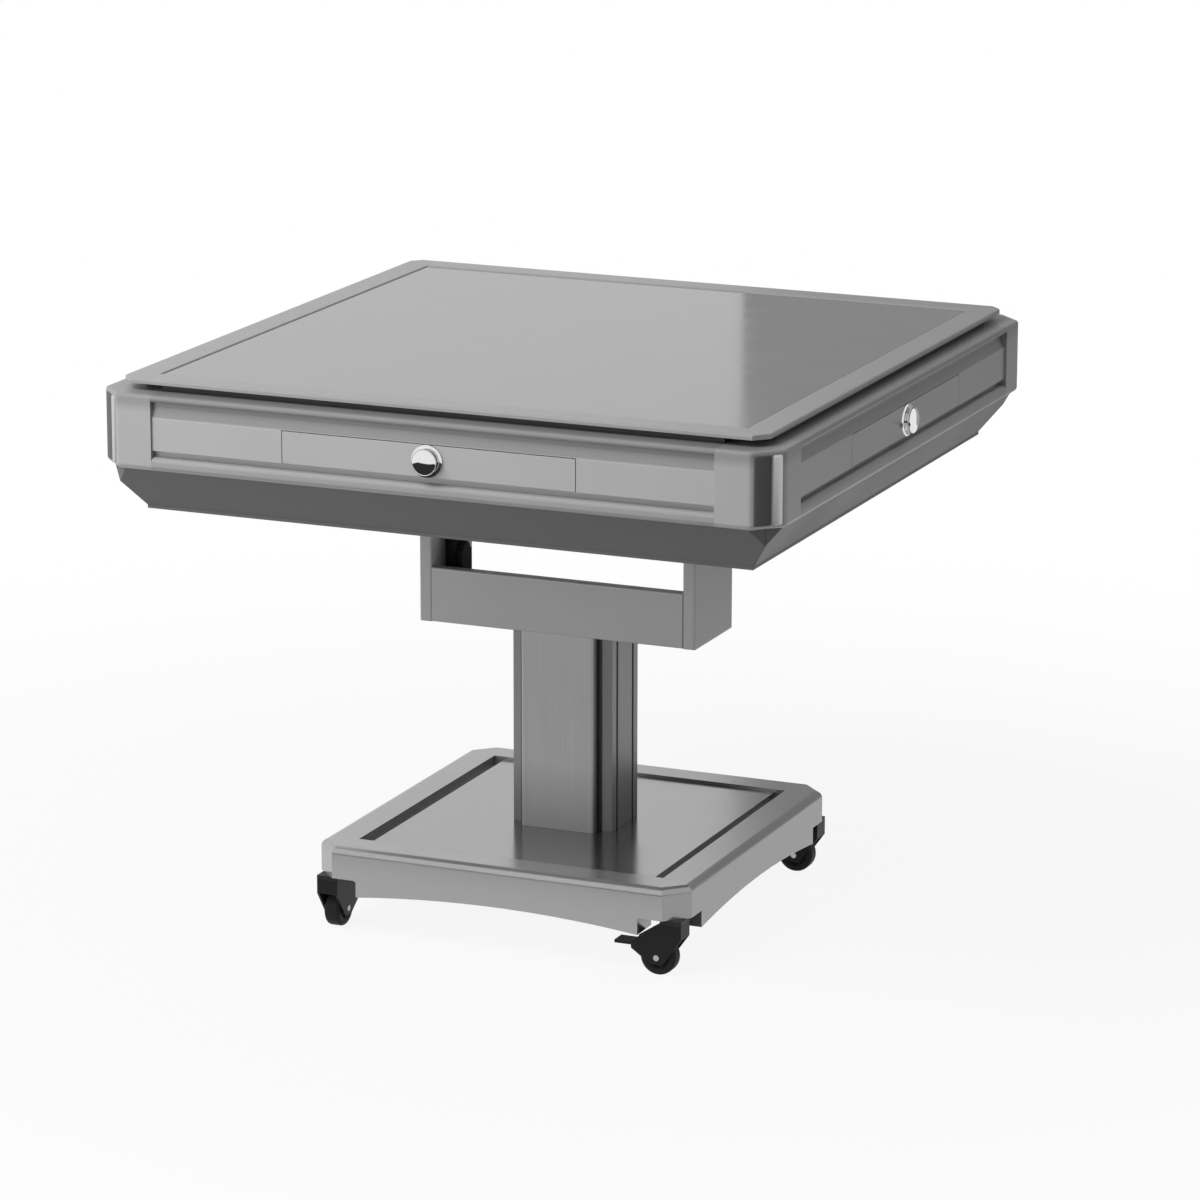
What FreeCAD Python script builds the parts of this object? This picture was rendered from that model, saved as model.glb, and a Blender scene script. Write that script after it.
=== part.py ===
"""Automatic table for tile games: a tilting machine body on a yoke, a column and a base on casters.

Millimetres. The origin lies on the floor under the middle of the table, +Z points up and the
front of the table faces -Y.
"""
import FreeCAD
import Part
import Sketcher
import math
import os
from types import SimpleNamespace

SIZES = {
    # Machine body: outline, floor and skirt
    "body_width": 950.0,
    "body_bottom": 606.0,
    "floor_thickness": 4.0,
    "skirt_height": 58.0,
    "skirt_foot_inset": 50.0,
    "skirt_head_inset": 7.0,
    "skirt_wall": 5.0,
    "skirt_seam": 0.6,
    "corner_chamfer": 34.0,
    "corner_round": 9.0,
    # Fascia section, from its lip up to its bead
    "fascia_height": 100.0,
    "lip_height": 19.0,
    "lip_round": 7.0,
    "shadow_height": 8.0,
    "shadow_depth": 10.0,
    "band_height": 43.0,
    "band_setback": 3.0,
    "cove_depth": 8.0,
    "cove_slope": 14.0,
    "bead_height": 9.0,
    "bead_round": 4.0,
    # Rim rails, cover board and playing board
    "rim_inset": 25.0,
    "rail_width": 40.0,
    "rail_thickness": 6.5,
    "rail_corner_cut": 18.0,
    "rail_round": 2.5,
    "rim_groove": 9.0,
    "rim_groove_depth": 9.0,
    "rail_web_width": 29.0,
    "cover_ledge_drop": 2.0,
    "cover_ledge_width": 8.0,
    "cover_thickness": 16.0,
    "cover_gap": 0.5,
    "cover_round": 1.5,
    "play_depth": 31.0,
    "board_ledge_width": 10.0,
    "board_thickness": 8.0,
    # Drawers and knobs
    "drawer_width": 408.0,
    "drawer_gap": 1.0,
    "drawer_front_thickness": 8.0,
    "drawer_depth": 49.0,
    "drawer_back_gap": 2.0,
    "drawer_wall": 2.5,
    "drawer_tray_inset": 4.5,
    "drawer_tray_height": 33.0,
    "knob_rose_radius": 22.0,
    "knob_rose_thickness": 3.0,
    "knob_neck_radius": 9.0,
    "knob_neck_length": 4.0,
    "knob_radius": 17.0,
    "knob_head_thickness": 8.0,
    "knob_bevel": 3.0,
    # Console, start button and tile lifts
    "console_radius": 88.0,
    "console_gap": 0.5,
    "console_cap_height": 10.0,
    "console_cap_proud": 6.0,
    "console_stem_radius": 30.0,
    "button_radius": 9.0,
    "button_height": 8.0,
    "button_proud": 2.0,
    "button_travel_room": 3.0,
    "button_offset": 52.0,
    "lift_length": 380.0,
    "lift_width": 50.0,
    "lift_edge_gap": 3.0,
    "lift_slot_gap": 0.5,
    "lift_plate_thickness": 4.0,
    "lift_stem_width": 24.0,
    "lift_stem_length": 56.0,
    "lift_guide_wall": 5.0,
    "lift_guide_height": 62.0,
    # Turntable and its drive
    "post_radius": 45.0,
    "post_height": 80.0,
    "post_flange_radius": 62.0,
    "post_flange_height": 39.7,
    "turntable_clearance": 46.7,
    "turntable_thickness": 5.0,
    "turntable_rim_width": 8.0,
    "turntable_rim_height": 20.0,
    "roller_radius": 20.0,
    "roller_height": 18.0,
    "motor_radius": 30.0,
    "motor_height": 36.0,
    "motor_shaft_radius": 4.0,
    "motor_shaft_length": 14.0,
    "control_box_length": 90.0,
    "control_box_width": 80.0,
    "control_box_height": 40.0,
    "control_box_inset": 35.0,
    # Power panel and rocker switch, under the floor
    "panel_length": 80.0,
    "panel_width": 40.0,
    "panel_height": 10.0,
    "panel_side_inset": 95.0,
    "panel_rear_inset": 85.0,
    "socket_length": 28.0,
    "socket_width": 22.0,
    "socket_depth": 8.0,
    "socket_inset": 8.0,
    "rocker_length": 22.0,
    "rocker_width": 14.0,
    "rocker_height": 7.5,
    "rocker_proud": 3.5,
    "rocker_side_gap": 0.3,
    "rocker_end_gap": 1.5,
    "rocker_inset": 10.0,
    "rocker_pin_radius": 1.5,
    "rocker_pin_length": 20.0,
    # Tilt hinge and rest pads
    "pivot_setback": 50.0,
    "pivot_drop": 28.0,
    "pin_radius": 9.0,
    "pin_head_radius": 13.0,
    "pin_head_thickness": 6.0,
    "ear_thickness": 16.0,
    "ear_gap": 0.5,
    "ear_width": 60.0,
    "ear_foot_width": 44.0,
    "ear_height": 46.0,
    "pad_length": 30.0,
    "pad_width": 14.0,
    "pad_setback": 8.0,
    # Yoke
    "yoke_width": 404.0,
    "yoke_bottom": 392.0,
    "yoke_front": 67.0,
    "yoke_rear": 65.0,
    "arm_thickness": 18.0,
    "arm_top_gap": 4.0,
    "arm_rear_cut": 9.0,
    "yoke_front_height": 76.0,
    "yoke_rear_height": 33.0,
    "yoke_plate_thickness": 14.0,
    "yoke_plate_round": 2.5,
    "yoke_floor_thickness": 10.0,
    # Tilt lock inside the left arm
    "lock_width": 14.0,
    "lock_depth": 44.0,
    "lock_front": 22.0,
    "lock_bottom": 458.0,
    "lock_height": 82.0,
    "bolt_radius": 4.0,
    "bolt_seat_height": 47.0,
    "bolt_floor_gap": 3.0,
    "keeper_radius": 5.0,
    "lever_hub_radius": 11.0,
    "lever_hub_height": 22.0,
    "lever_thickness": 8.0,
    "lever_length": 42.0,
    "lever_width": 32.0,
    # Column
    "column_core_width": 104.0,
    "column_core_wall": 6.0,
    "face_panel_width": 106.0,
    "face_panel_thickness": 12.0,
    "face_panel_round": 3.0,
    "side_panel_width": 96.0,
    "side_panel_thickness": 13.0,
    "side_panel_slope": 4.0,
    "side_neck_length": 8.0,
    "side_neck_inset": 8.0,
    "side_groove_depth": 5.0,
    "side_groove_width": 6.0,
    "side_groove_offset": 27.0,
    # Base
    "base_width": 540.0,
    "base_top": 122.0,
    "base_rail_width": 48.0,
    "base_rail_height": 67.0,
    "base_rail_round": 10.0,
    "base_corner_cut": 30.0,
    "base_arch_rise": 12.0,
    "base_arch_inset": 65.0,
    "base_plate_drop": 4.0,
    "base_plate_thickness": 8.0,
    "base_slot_width": 16.0,
    "base_ledge_width": 26.0,
    "base_ledge_thickness": 14.0,
    # Casters
    "caster_inset": 20.0,
    "caster_height": 78.0,
    "caster_trail": 20.0,
    "caster_pocket": 45.0,
    "socket_plate_width": 30.0,
    "socket_plate_thickness": 6.0,
    "stem_radius": 6.0,
    "stem_length": 5.5,
    "crown_radius": 15.0,
    "wheel_radius": 25.0,
    "wheel_width": 22.0,
    "wheel_bevel": 4.0,
    "fork_side_gap": 1.0,
    "fork_top_gap": 2.5,
    "fork_wall": 3.0,
    "fork_foot_width": 18.0,
    "fork_foot_drop": 9.0,
    "axle_radius": 4.0,
    "axle_proud": 0.6,
    "pedal_setback": 28.0,
    "pedal_pin_height": 40.0,
    "pedal_pin_radius": 2.5,
    "pedal_hub_radius": 5.0,
    "pedal_length": 33.0,
    "pedal_thickness": 4.0,
    # Clearances and the overrun of cutting shapes
    "shaft_gap": 0.05,
    "seat_gap": 0.3,
    "overrun": 5.0,
}

SIDES = ("front", "right", "rear", "left")
# Each caster: its side along X, its side along Y and the quarter turns of its heading
CASTER_PLACE_SHARES = {
    "front_left": (-1, -1, 3),
    "front_right": (1, -1, 0),
    "rear_right": (1, 1, 0),
    "rear_left": (-1, 1, 1),
}
BRAKED = ("front_left", "front_right")
DIAGONAL_SHARE = math.sqrt(0.5)
FULL_TURN = 360.0
QUARTER_TURN = FULL_TURN / 4
EIGHTH_TURN = FULL_TURN / 8
SAME_PLACE = 1e-4


class Size:
    """A length that carries its sheet formula beside its present value."""

    def __init__(self, formula, value):
        self.formula = formula
        self.value = value

    def __add__(self, other):
        return Size(f"({self.formula} + {formula_of(other)})", self.value + value_of(other))

    def __sub__(self, other):
        return Size(f"({self.formula} - {formula_of(other)})", self.value - value_of(other))

    def __mul__(self, other):
        return Size(f"({self.formula} * {formula_of(other)})", self.value * value_of(other))

    def __truediv__(self, other):
        return Size(f"({self.formula} / {formula_of(other)})", self.value / value_of(other))

    def __radd__(self, other):
        return Size(f"({formula_of(other)} + {self.formula})", value_of(other) + self.value)

    def __rsub__(self, other):
        return Size(f"({formula_of(other)} - {self.formula})", value_of(other) - self.value)

    def __rmul__(self, other):
        return Size(f"({formula_of(other)} * {self.formula})", value_of(other) * self.value)

    def __neg__(self):
        return Size(f"(-1 * {self.formula})", -self.value)


def formula_of(size):
    return size.formula if isinstance(size, Size) else str(size)


def value_of(size):
    return size.value if isinstance(size, Size) else size


doc = FreeCAD.newDocument("game_table")
sheet = doc.addObject("Spreadsheet::Sheet", "sizes")
for row, (alias, number) in enumerate(SIZES.items(), start=1):
    sheet.set(f"A{row}", alias)
    sheet.set(f"B{row}", str(number))
    sheet.setAlias(f"B{row}", alias)
doc.recompute()
size = SimpleNamespace(**{alias: Size(f"sizes.{alias}", number) for alias, number in SIZES.items()})
sub_parts = []


# Building blocks: every length is bound to the sheet

def bind(target, name, length):
    target.setExpression(name, formula_of(length))


def sub_part(label, piece):
    """Name a finished piece and put it on the list that is written out."""
    piece.Label = label
    sub_parts.append(piece)
    return piece


def block(name, low, high):
    solid = doc.addObject("Part::Box", name)
    for side, axis, start, end in zip(("Length", "Width", "Height"), "xyz", low, high):
        bind(solid, side, end - start)
        bind(solid, f"Placement.Base.{axis}", start)
    return solid


def rod(name, start, length, radius, axis="z"):
    """A cylinder that begins at a point and runs along an axis."""
    solid = doc.addObject("Part::Cylinder", name)
    bind(solid, "Radius", radius)
    bind(solid, "Height", length)
    if axis == "x":
        solid.Placement.Rotation = FreeCAD.Rotation(FreeCAD.Vector(0, 1, 0), QUARTER_TURN)
    if axis == "y":
        solid.Placement.Rotation = FreeCAD.Rotation(FreeCAD.Vector(1, 0, 0), -QUARTER_TURN)
    for letter, place in zip("xyz", start):
        bind(solid, f"Placement.Base.{letter}", place)
    return solid


def fuse(name, *pieces):
    joined = doc.addObject("Part::MultiFuse", name)
    joined.Shapes = list(pieces)
    return joined


def cut(name, base, *tools):
    result = doc.addObject("Part::Cut", name)
    result.Base = base
    result.Tool = tools[0] if len(tools) == 1 else fuse(f"{name}_tools", *tools)
    return result


def common(name, first, second):
    shared = doc.addObject("Part::Common", name)
    shared.Base = first
    shared.Tool = second
    return shared


def group(name, *pieces):
    gathered = doc.addObject("Part::Compound", name)
    gathered.Links = list(pieces)
    return gathered


def turned(piece, angle):
    """Turn a piece about the table's upright axis."""
    piece.Placement.Rotation = FreeCAD.Rotation(FreeCAD.Vector(0, 0, 1), angle)
    return piece


def moved(piece, x=0, y=0, z=0):
    for axis, place in zip("xyz", (x, y, z)):
        bind(piece, f"Placement.Base.{axis}", place)
    return piece


def sketch_on(body, role, points, offset):
    """A closed outline whose corners are held by distances from the plane's origin."""
    sketch = body.newObject("Sketcher::SketchObject", f"{body.Name}_outline")
    plane = next(item for item in body.Origin.OriginFeatures if item.Role == role)
    sketch.AttachmentSupport = [(plane, "")]
    sketch.MapMode = "FlatFace"
    bind(sketch, "AttachmentOffset.Base.z", offset)
    corners = [FreeCAD.Vector(value_of(across), value_of(up), 0) for across, up in points]
    for start, end in zip(corners, corners[1:] + corners[:1]):
        sketch.addGeometry(Part.LineSegment(start, end), False)
    for index in range(len(corners)):
        sketch.addConstraint(Sketcher.Constraint("Coincident", index, 2, (index + 1) % len(corners), 1))
    for index, point in enumerate(points):
        for kind, length in zip(("DistanceX", "DistanceY"), point):
            held = sketch.addConstraint(Sketcher.Constraint(kind, -1, 1, index, 1, value_of(length)))
            bind(sketch, f"Constraints[{held}]", length)
    return sketch


def prism(name, role, points, low, high):
    """A body padded from low to high along the normal of a plane of the table's frame."""
    body = doc.addObject("PartDesign::Body", name)
    start = -high if role == "XZ_Plane" else low
    pad = body.newObject("PartDesign::Pad", f"{name}_pad")
    pad.Profile = sketch_on(body, role, points, start)
    bind(pad, "Length", high - low)
    return body


def lathe(name, points):
    """A body turned about the Y axis from an outline given as radius and place along Y."""
    body = doc.addObject("PartDesign::Body", name)
    sketch = sketch_on(body, "XY_Plane", points, 0)
    turning = body.newObject("PartDesign::Revolution", f"{name}_turning")
    turning.Profile = sketch
    turning.ReferenceAxis = (sketch, ["V_Axis"])
    turning.Angle = FULL_TURN
    return body


def edges_at(**places):
    """A test for edges whose ends all lie at the given coordinates."""
    def lies_there(edge):
        gaps = [getattr(end.Point, axis) - value_of(place)
                for axis, place in places.items() for end in edge.Vertexes]
        return all(abs(gap) < SAME_PLACE for gap in gaps)
    return lies_there


def rounded(body, radius, *tests):
    """Round every edge of the body that one of the tests picks."""
    doc.recompute()
    base = body.Tip
    names = [f"Edge{index}" for index, edge in enumerate(base.Shape.Edges, start=1)
             if any(test(edge) for test in tests)]
    fillet = body.newObject("PartDesign::Fillet", f"{body.Name}_round")
    fillet.Base = (base, names)
    bind(fillet, "Radius", radius)
    return body


# Levels and half widths that several pieces share

body_half = size.body_width / 2
floor_half = body_half - size.skirt_foot_inset
floor_top = size.body_bottom + size.floor_thickness
fascia_bottom = floor_top + size.skirt_height
fascia_top = fascia_bottom + size.fascia_height
rail_bottom = fascia_top + size.rim_groove
cover_bottom = fascia_top - size.cover_ledge_drop
play_top = cover_bottom - size.play_depth
board_bottom = play_top - size.board_thickness
rail_outer = body_half - size.rim_inset
cover_recess = rail_outer - size.rail_width
play_recess = cover_recess - size.cover_ledge_width
board_recess = play_recess - size.board_ledge_width
lift_outer = board_recess - size.lift_edge_gap
lift_middle = lift_outer - size.lift_width / 2
lift_bore_half = size.lift_stem_width / 2 + size.seat_gap
lift_guide_half = lift_bore_half + size.lift_guide_wall
turntable_radius = lift_middle - lift_guide_half - size.turntable_clearance
band_bottom = fascia_bottom + size.lip_height + size.shadow_height
band_top = band_bottom + size.band_height
band_face = body_half - size.band_setback
drawer_half = size.drawer_width / 2
cavity_floor = band_bottom - size.drawer_gap / 2
drawer_front_back = band_face - size.drawer_front_thickness
drawer_back = drawer_front_back - size.drawer_depth
arm_outer = size.yoke_width / 2
arm_inner = arm_outer - size.arm_thickness
pivot_height = size.body_bottom - size.pivot_drop
base_half = size.base_width / 2
base_inner = base_half - size.base_rail_width
base_bottom = size.base_top - size.base_rail_height
plate_top = size.base_top - size.base_plate_drop
plate_bottom = plate_top - size.base_plate_thickness
caster_place = base_half - size.caster_inset
lock_middle = size.lock_depth / 2 - size.lock_front
lock_face = arm_inner - size.lock_width
bolt_place = arm_inner - size.lock_width / 2


# Machine body: floor, skirt, fascias, corner blocks and rim

def floor_plate():
    plate = block("floor_blank", (-floor_half, -floor_half, size.body_bottom),
                  (floor_half, floor_half, floor_top))
    keeper_start = size.body_bottom - size.overrun
    keeper_length = size.floor_thickness + size.overrun * 2
    keeper = rod("floor_keeper", (-bolt_place, lock_middle, keeper_start), keeper_length, size.keeper_radius)
    sub_part("floor_plate", cut("floor_plate", plate, keeper))


def skirt_frustum(name, inset):
    """A tapered block with cut corners, drawn in from the skirt's outside by an inset."""
    foot = floor_half - inset
    head = body_half - size.skirt_head_inset - inset
    wedge = doc.addObject("Part::Wedge", f"{name}_wedge")
    limits = {"Xmin": -foot, "Xmax": foot, "Zmin": -foot, "Zmax": foot,
              "X2min": -head, "X2max": head, "Z2min": -head, "Z2max": head}
    for limit, place in limits.items():
        bind(wedge, limit, place)
    bind(wedge, "Ymin", 0)
    bind(wedge, "Ymax", size.skirt_height)
    wedge.Placement.Rotation = FreeCAD.Rotation(FreeCAD.Vector(1, 0, 0), QUARTER_TURN)
    bind(wedge, "Placement.Base.z", floor_top)
    flat = head - size.corner_chamfer
    outline = [(-flat, -head), (flat, -head), (head, -flat), (head, flat),
               (flat, head), (-flat, head), (-head, flat), (-head, -flat)]
    low = floor_top - size.overrun
    high = fascia_bottom + size.overrun
    return common(f"{name}_frustum", wedge, prism(f"{name}_corners", "XY_Plane", outline, low, high))


def skirt_panels():
    outer = skirt_frustum("skirt_outer", 0)
    inner = skirt_frustum("skirt_inner", size.skirt_wall)
    walls = cut("skirt_walls", outer, inner)
    seams = []
    for turn_share in (-1, 1):
        seam_half = size.skirt_seam / 2
        low = (-size.body_width, -seam_half, floor_top - size.overrun)
        high = (size.body_width, seam_half, fascia_bottom + size.overrun)
        seam = group("skirt_seam", block("skirt_seam_blank", low, high))
        seams.append(turned(seam, turn_share * EIGHTH_TURN))
    sub_part("skirt_panels", cut("skirt_panels", walls, *seams))


def fascia(side, quarter):
    """One moulded side with its lip, shadow line, drawer band, cove and bead, and its drawer cavity."""
    lip_top = fascia_bottom + size.lip_height
    shadow_face = body_half - size.shadow_depth
    cove_face = body_half - size.cove_depth
    cove_start = band_top + size.cove_slope
    bead_bottom = fascia_top - size.bead_height
    section = [
        (-body_half, fascia_bottom), (-body_half, lip_top),
        (-shadow_face, lip_top), (-shadow_face, band_bottom),
        (-band_face, band_bottom), (-band_face, band_top),
        (-cove_face, cove_start), (-cove_face, bead_bottom),
        (-body_half, bead_bottom), (-body_half, fascia_top),
        (-cover_recess, fascia_top), (-cover_recess, cover_bottom),
        (-play_recess, cover_bottom), (-play_recess, board_bottom),
        (-board_recess, board_bottom), (-board_recess, fascia_bottom),
    ]
    bar = prism(f"fascia_{side}_bar", "YZ_Plane", section, -board_recess, board_recess)
    lip_edges = [edges_at(y=-body_half, z=height) for height in (fascia_bottom, lip_top)]
    rounded(bar, size.lip_round, *lip_edges)
    bead_edges = [edges_at(y=-body_half, z=height) for height in (bead_bottom, fascia_top)]
    rounded(bar, size.bead_round, *bead_edges)
    cavity_half = drawer_half + size.drawer_gap
    cavity_back = drawer_back - size.drawer_back_gap
    cavity_top = band_top + size.drawer_gap / 2
    low = (-cavity_half, -body_half - size.overrun, cavity_floor)
    high = (cavity_half, -cavity_back, cavity_top)
    piece = cut(f"fascia_{side}", bar, block(f"fascia_{side}_cavity", low, high))
    sub_part(f"fascia_{side}", turned(piece, quarter * QUARTER_TURN))


def outer_edges(height):
    """A test for the edges of a corner post that run round its outside at one height."""
    level = edges_at(z=height)

    def runs_round(edge):
        reaches = [end.Point.x - end.Point.y for end in edge.Vertexes]
        return level(edge) and min(reaches) > value_of(board_recess + body_half) - SAME_PLACE
    return runs_round


def corner_blocks():
    corners = []
    flat = body_half - size.corner_chamfer
    outline = [(board_recess, -body_half), (flat, -body_half), (body_half, -flat),
               (body_half, -board_recess), (board_recess, -board_recess)]
    for quarter in range(len(SIDES)):
        post = prism("corner_post", "XY_Plane", outline, fascia_bottom, fascia_top)
        rounded(post, size.corner_round, edges_at(x=flat, y=-body_half), edges_at(x=body_half, y=-flat))
        rounded(post, size.bead_round, outer_edges(fascia_top))
        rounded(post, size.lip_round, outer_edges(fascia_bottom))
        high = fascia_top + size.overrun
        play = block("corner_play_recess", (0, -play_recess, board_bottom), (play_recess, 0, high))
        cover = block("corner_cover_recess", (0, -cover_recess, cover_bottom), (cover_recess, 0, high))
        corners.append(turned(cut("corner_block", post, play, cover), quarter * QUARTER_TURN))
    sub_part("corner_blocks", group("corner_blocks", *corners))


def rim_rails():
    rails = []
    flat = rail_outer - size.rail_corner_cut
    mitre = rail_outer - size.rail_corner_cut / 2
    rail_top = rail_bottom + size.rail_thickness
    outline = [(-flat, -rail_outer), (flat, -rail_outer), (mitre, -mitre),
               (cover_recess, -cover_recess), (-cover_recess, -cover_recess), (-mitre, -mitre)]
    web_front = rail_outer - size.rim_groove_depth
    web_back = web_front - size.rail_web_width
    for quarter in range(len(SIDES)):
        flange = prism("rail_flange", "XY_Plane", outline, rail_bottom, rail_top)
        long_edges = [edges_at(y=-face, z=rail_top) for face in (rail_outer, cover_recess)]
        rounded(flange, size.rail_round, *long_edges)
        web = block("rail_web", (-board_recess, -web_front, fascia_top),
                    (board_recess, -web_back, rail_bottom))
        rails.append(turned(fuse("rim_rail", flange, web), quarter * QUARTER_TURN))
    sub_part("rim_rails", group("rim_rails", *rails))


# Boards, drawers and what rises through the playing board

def cover_board():
    reach = cover_recess - size.cover_gap
    top = cover_bottom + size.cover_thickness
    outline = [(-reach, -reach), (reach, -reach), (reach, reach), (-reach, reach)]
    board = prism("cover_board", "XY_Plane", outline, cover_bottom, top)
    sub_part("cover_board", rounded(board, size.cover_round, edges_at(z=top)))


def play_board():
    reach = play_recess - size.seat_gap
    low = board_bottom - size.overrun
    high = play_top + size.overrun
    openings = [rod("board_centre", (0, 0, low), high - low, size.console_radius + size.console_gap)]
    slot_half = size.lift_length / 2 + size.lift_slot_gap
    outer = lift_outer + size.lift_slot_gap
    inner = lift_outer - size.lift_width - size.lift_slot_gap
    for quarter in range(len(SIDES)):
        slot = block("board_slot_blank", (-slot_half, -outer, low), (slot_half, -inner, high))
        openings.append(turned(group("board_slot", slot), quarter * QUARTER_TURN))
    blank = block("board_blank", (-reach, -reach, board_bottom), (reach, reach, play_top))
    sub_part("play_board", cut("play_board", blank, *openings))


def drawer(side, quarter):
    """A shallow open tray of a floor and four walls behind a flush front."""
    front_bottom = band_bottom + size.drawer_gap / 2
    front_top = band_top - size.drawer_gap / 2
    front = block(f"drawer_{side}_front", (-drawer_half, -band_face, front_bottom),
                  (drawer_half, -drawer_front_back, front_top))
    tray_half = drawer_half - size.drawer_tray_inset
    tray_floor = cavity_floor + size.seat_gap
    tray_top = tray_floor + size.drawer_tray_height
    wall = size.drawer_wall
    wall_bottom = tray_floor + wall
    panels = [front, block(f"drawer_{side}_floor", (-tray_half, -drawer_front_back, tray_floor),
                           (tray_half, -drawer_back, wall_bottom))]
    for hand in (1, -1):
        low, high = between(hand, tray_half - wall, tray_half)
        panels.append(block(f"drawer_{side}_side_wall", (low, -drawer_front_back, wall_bottom),
                            (high, -drawer_back, tray_top)))
    for face in (drawer_front_back, drawer_back + wall):
        panels.append(block(f"drawer_{side}_end_wall", (wall - tray_half, -face, wall_bottom),
                            (tray_half - wall, wall - face, tray_top)))
    piece = group(f"drawer_{side}", *panels)
    sub_part(f"drawer_{side}", turned(piece, quarter * QUARTER_TURN))


def drawer_knob(side, quarter):
    rose_face = band_face + size.knob_rose_thickness
    neck_face = rose_face + size.knob_neck_length
    head_face = neck_face + size.knob_head_thickness
    outline = [
        (0, -band_face), (size.knob_rose_radius, -band_face), (size.knob_rose_radius, -rose_face),
        (size.knob_neck_radius, -rose_face), (size.knob_neck_radius, -neck_face),
        (size.knob_radius, -neck_face), (size.knob_radius, size.knob_bevel - head_face),
        (size.knob_radius - size.knob_bevel, -head_face), (0, -head_face),
    ]
    knob = lathe(f"drawer_knob_{side}", outline)
    turned(knob, quarter * QUARTER_TURN)
    bind(knob, "Placement.Base.z", (band_bottom + band_top) / 2)
    sub_part(f"drawer_knob_{side}", knob)


def console():
    cap_top = play_top + size.console_cap_proud
    cap_bottom = cap_top - size.console_cap_height
    stem_bottom = floor_top + size.post_height / 2
    cap = rod("console_cap", (0, 0, cap_bottom), size.console_cap_height, size.console_radius)
    stem = rod("console_stem", (0, 0, stem_bottom), cap_bottom - stem_bottom, size.console_stem_radius)
    well_radius = size.button_radius + size.seat_gap
    button_bottom = cap_top + size.button_proud - size.button_height
    well_bottom = button_bottom - size.button_travel_room
    well_length = cap_top - well_bottom + size.overrun
    well = rod("console_well", (0, -size.button_offset, well_bottom), well_length, well_radius)
    sub_part("console", cut("console", fuse("console_solid", cap, stem), well))
    place = (0, -size.button_offset, button_bottom)
    sub_part("start_button", rod("start_button", place, size.button_height, size.button_radius))


def tile_lifts():
    lifts = []
    guides = []
    plate_under = play_top - size.lift_plate_thickness
    stem_half = size.lift_stem_width / 2
    stem_bottom = plate_under - size.lift_stem_length
    guide_top = floor_top + size.lift_guide_height
    bore_bottom = floor_top - size.overrun
    for quarter in range(len(SIDES)):
        plate = block("lift_plate", (-size.lift_length / 2, -lift_outer, plate_under),
                      (size.lift_length / 2, size.lift_width - lift_outer, play_top))
        stem = block("lift_stem", (-stem_half, -lift_middle - stem_half, stem_bottom),
                     (stem_half, stem_half - lift_middle, plate_under))
        lifts.append(turned(fuse("tile_lift", plate, stem), quarter * QUARTER_TURN))
        sleeve = block("guide_sleeve", (-lift_guide_half, -lift_middle - lift_guide_half, floor_top),
                       (lift_guide_half, lift_guide_half - lift_middle, guide_top))
        bore = block("guide_bore", (-lift_bore_half, -lift_middle - lift_bore_half, bore_bottom),
                     (lift_bore_half, lift_bore_half - lift_middle, guide_top + size.overrun))
        guides.append(turned(cut("lift_guide", sleeve, bore), quarter * QUARTER_TURN))
    sub_part("tile_lifts", group("tile_lifts", *lifts))
    sub_part("lift_guides", group("lift_guides", *guides))


# Turntable drive, control box and power panel

def turntable():
    flange = rod("post_flange", (0, 0, floor_top), size.post_flange_height, size.post_flange_radius)
    tube = rod("post_tube", (0, 0, floor_top), size.post_height, size.post_radius)
    bore_bottom = floor_top + size.post_height / 2 - size.seat_gap
    bore_length = size.post_height / 2 + size.seat_gap + size.overrun
    bore = rod("post_bore", (0, 0, bore_bottom), bore_length, size.console_stem_radius + size.shaft_gap)
    sub_part("centre_post", cut("centre_post", fuse("post_solid", flange, tube), bore))

    disc_bottom = floor_top + size.post_flange_height + size.seat_gap
    disc_height = size.turntable_thickness + size.turntable_rim_height
    disc = rod("turntable_disc", (0, 0, disc_bottom), disc_height, turntable_radius)
    bowl = rod("turntable_bowl", (0, 0, disc_bottom + size.turntable_thickness), disc_height,
               turntable_radius - size.turntable_rim_width)
    hub_bore = rod("turntable_bore", (0, 0, disc_bottom - size.overrun), disc_height + size.overrun * 2,
                   size.post_radius + size.shaft_gap)
    sub_part("turntable", cut("turntable", disc, bowl, hub_bore))

    reach = (turntable_radius + size.roller_radius + size.seat_gap) * DIAGONAL_SHARE
    motor_top = floor_top + size.motor_height
    can = rod("motor_can", (reach, reach, floor_top), size.motor_height, size.motor_radius)
    shaft = rod("motor_shaft", (reach, reach, motor_top), size.motor_shaft_length, size.motor_shaft_radius)
    sub_part("drive_motor", fuse("drive_motor", can, shaft))
    roller_bottom = motor_top + size.seat_gap
    tyre = rod("roller_tyre", (reach, reach, roller_bottom), size.roller_height, size.roller_radius)
    eye_length = size.roller_height + size.overrun * 2
    eye = rod("roller_eye", (reach, reach, roller_bottom - size.overrun), eye_length,
              size.motor_shaft_radius + size.shaft_gap)
    sub_part("drive_roller", cut("drive_roller", tyre, eye))


def control_box():
    corner = size.control_box_inset - floor_half
    low = (corner, corner, floor_top)
    high = (corner + size.control_box_length, corner + size.control_box_width,
            floor_top + size.control_box_height)
    sub_part("control_box", block("control_box", low, high))


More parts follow.
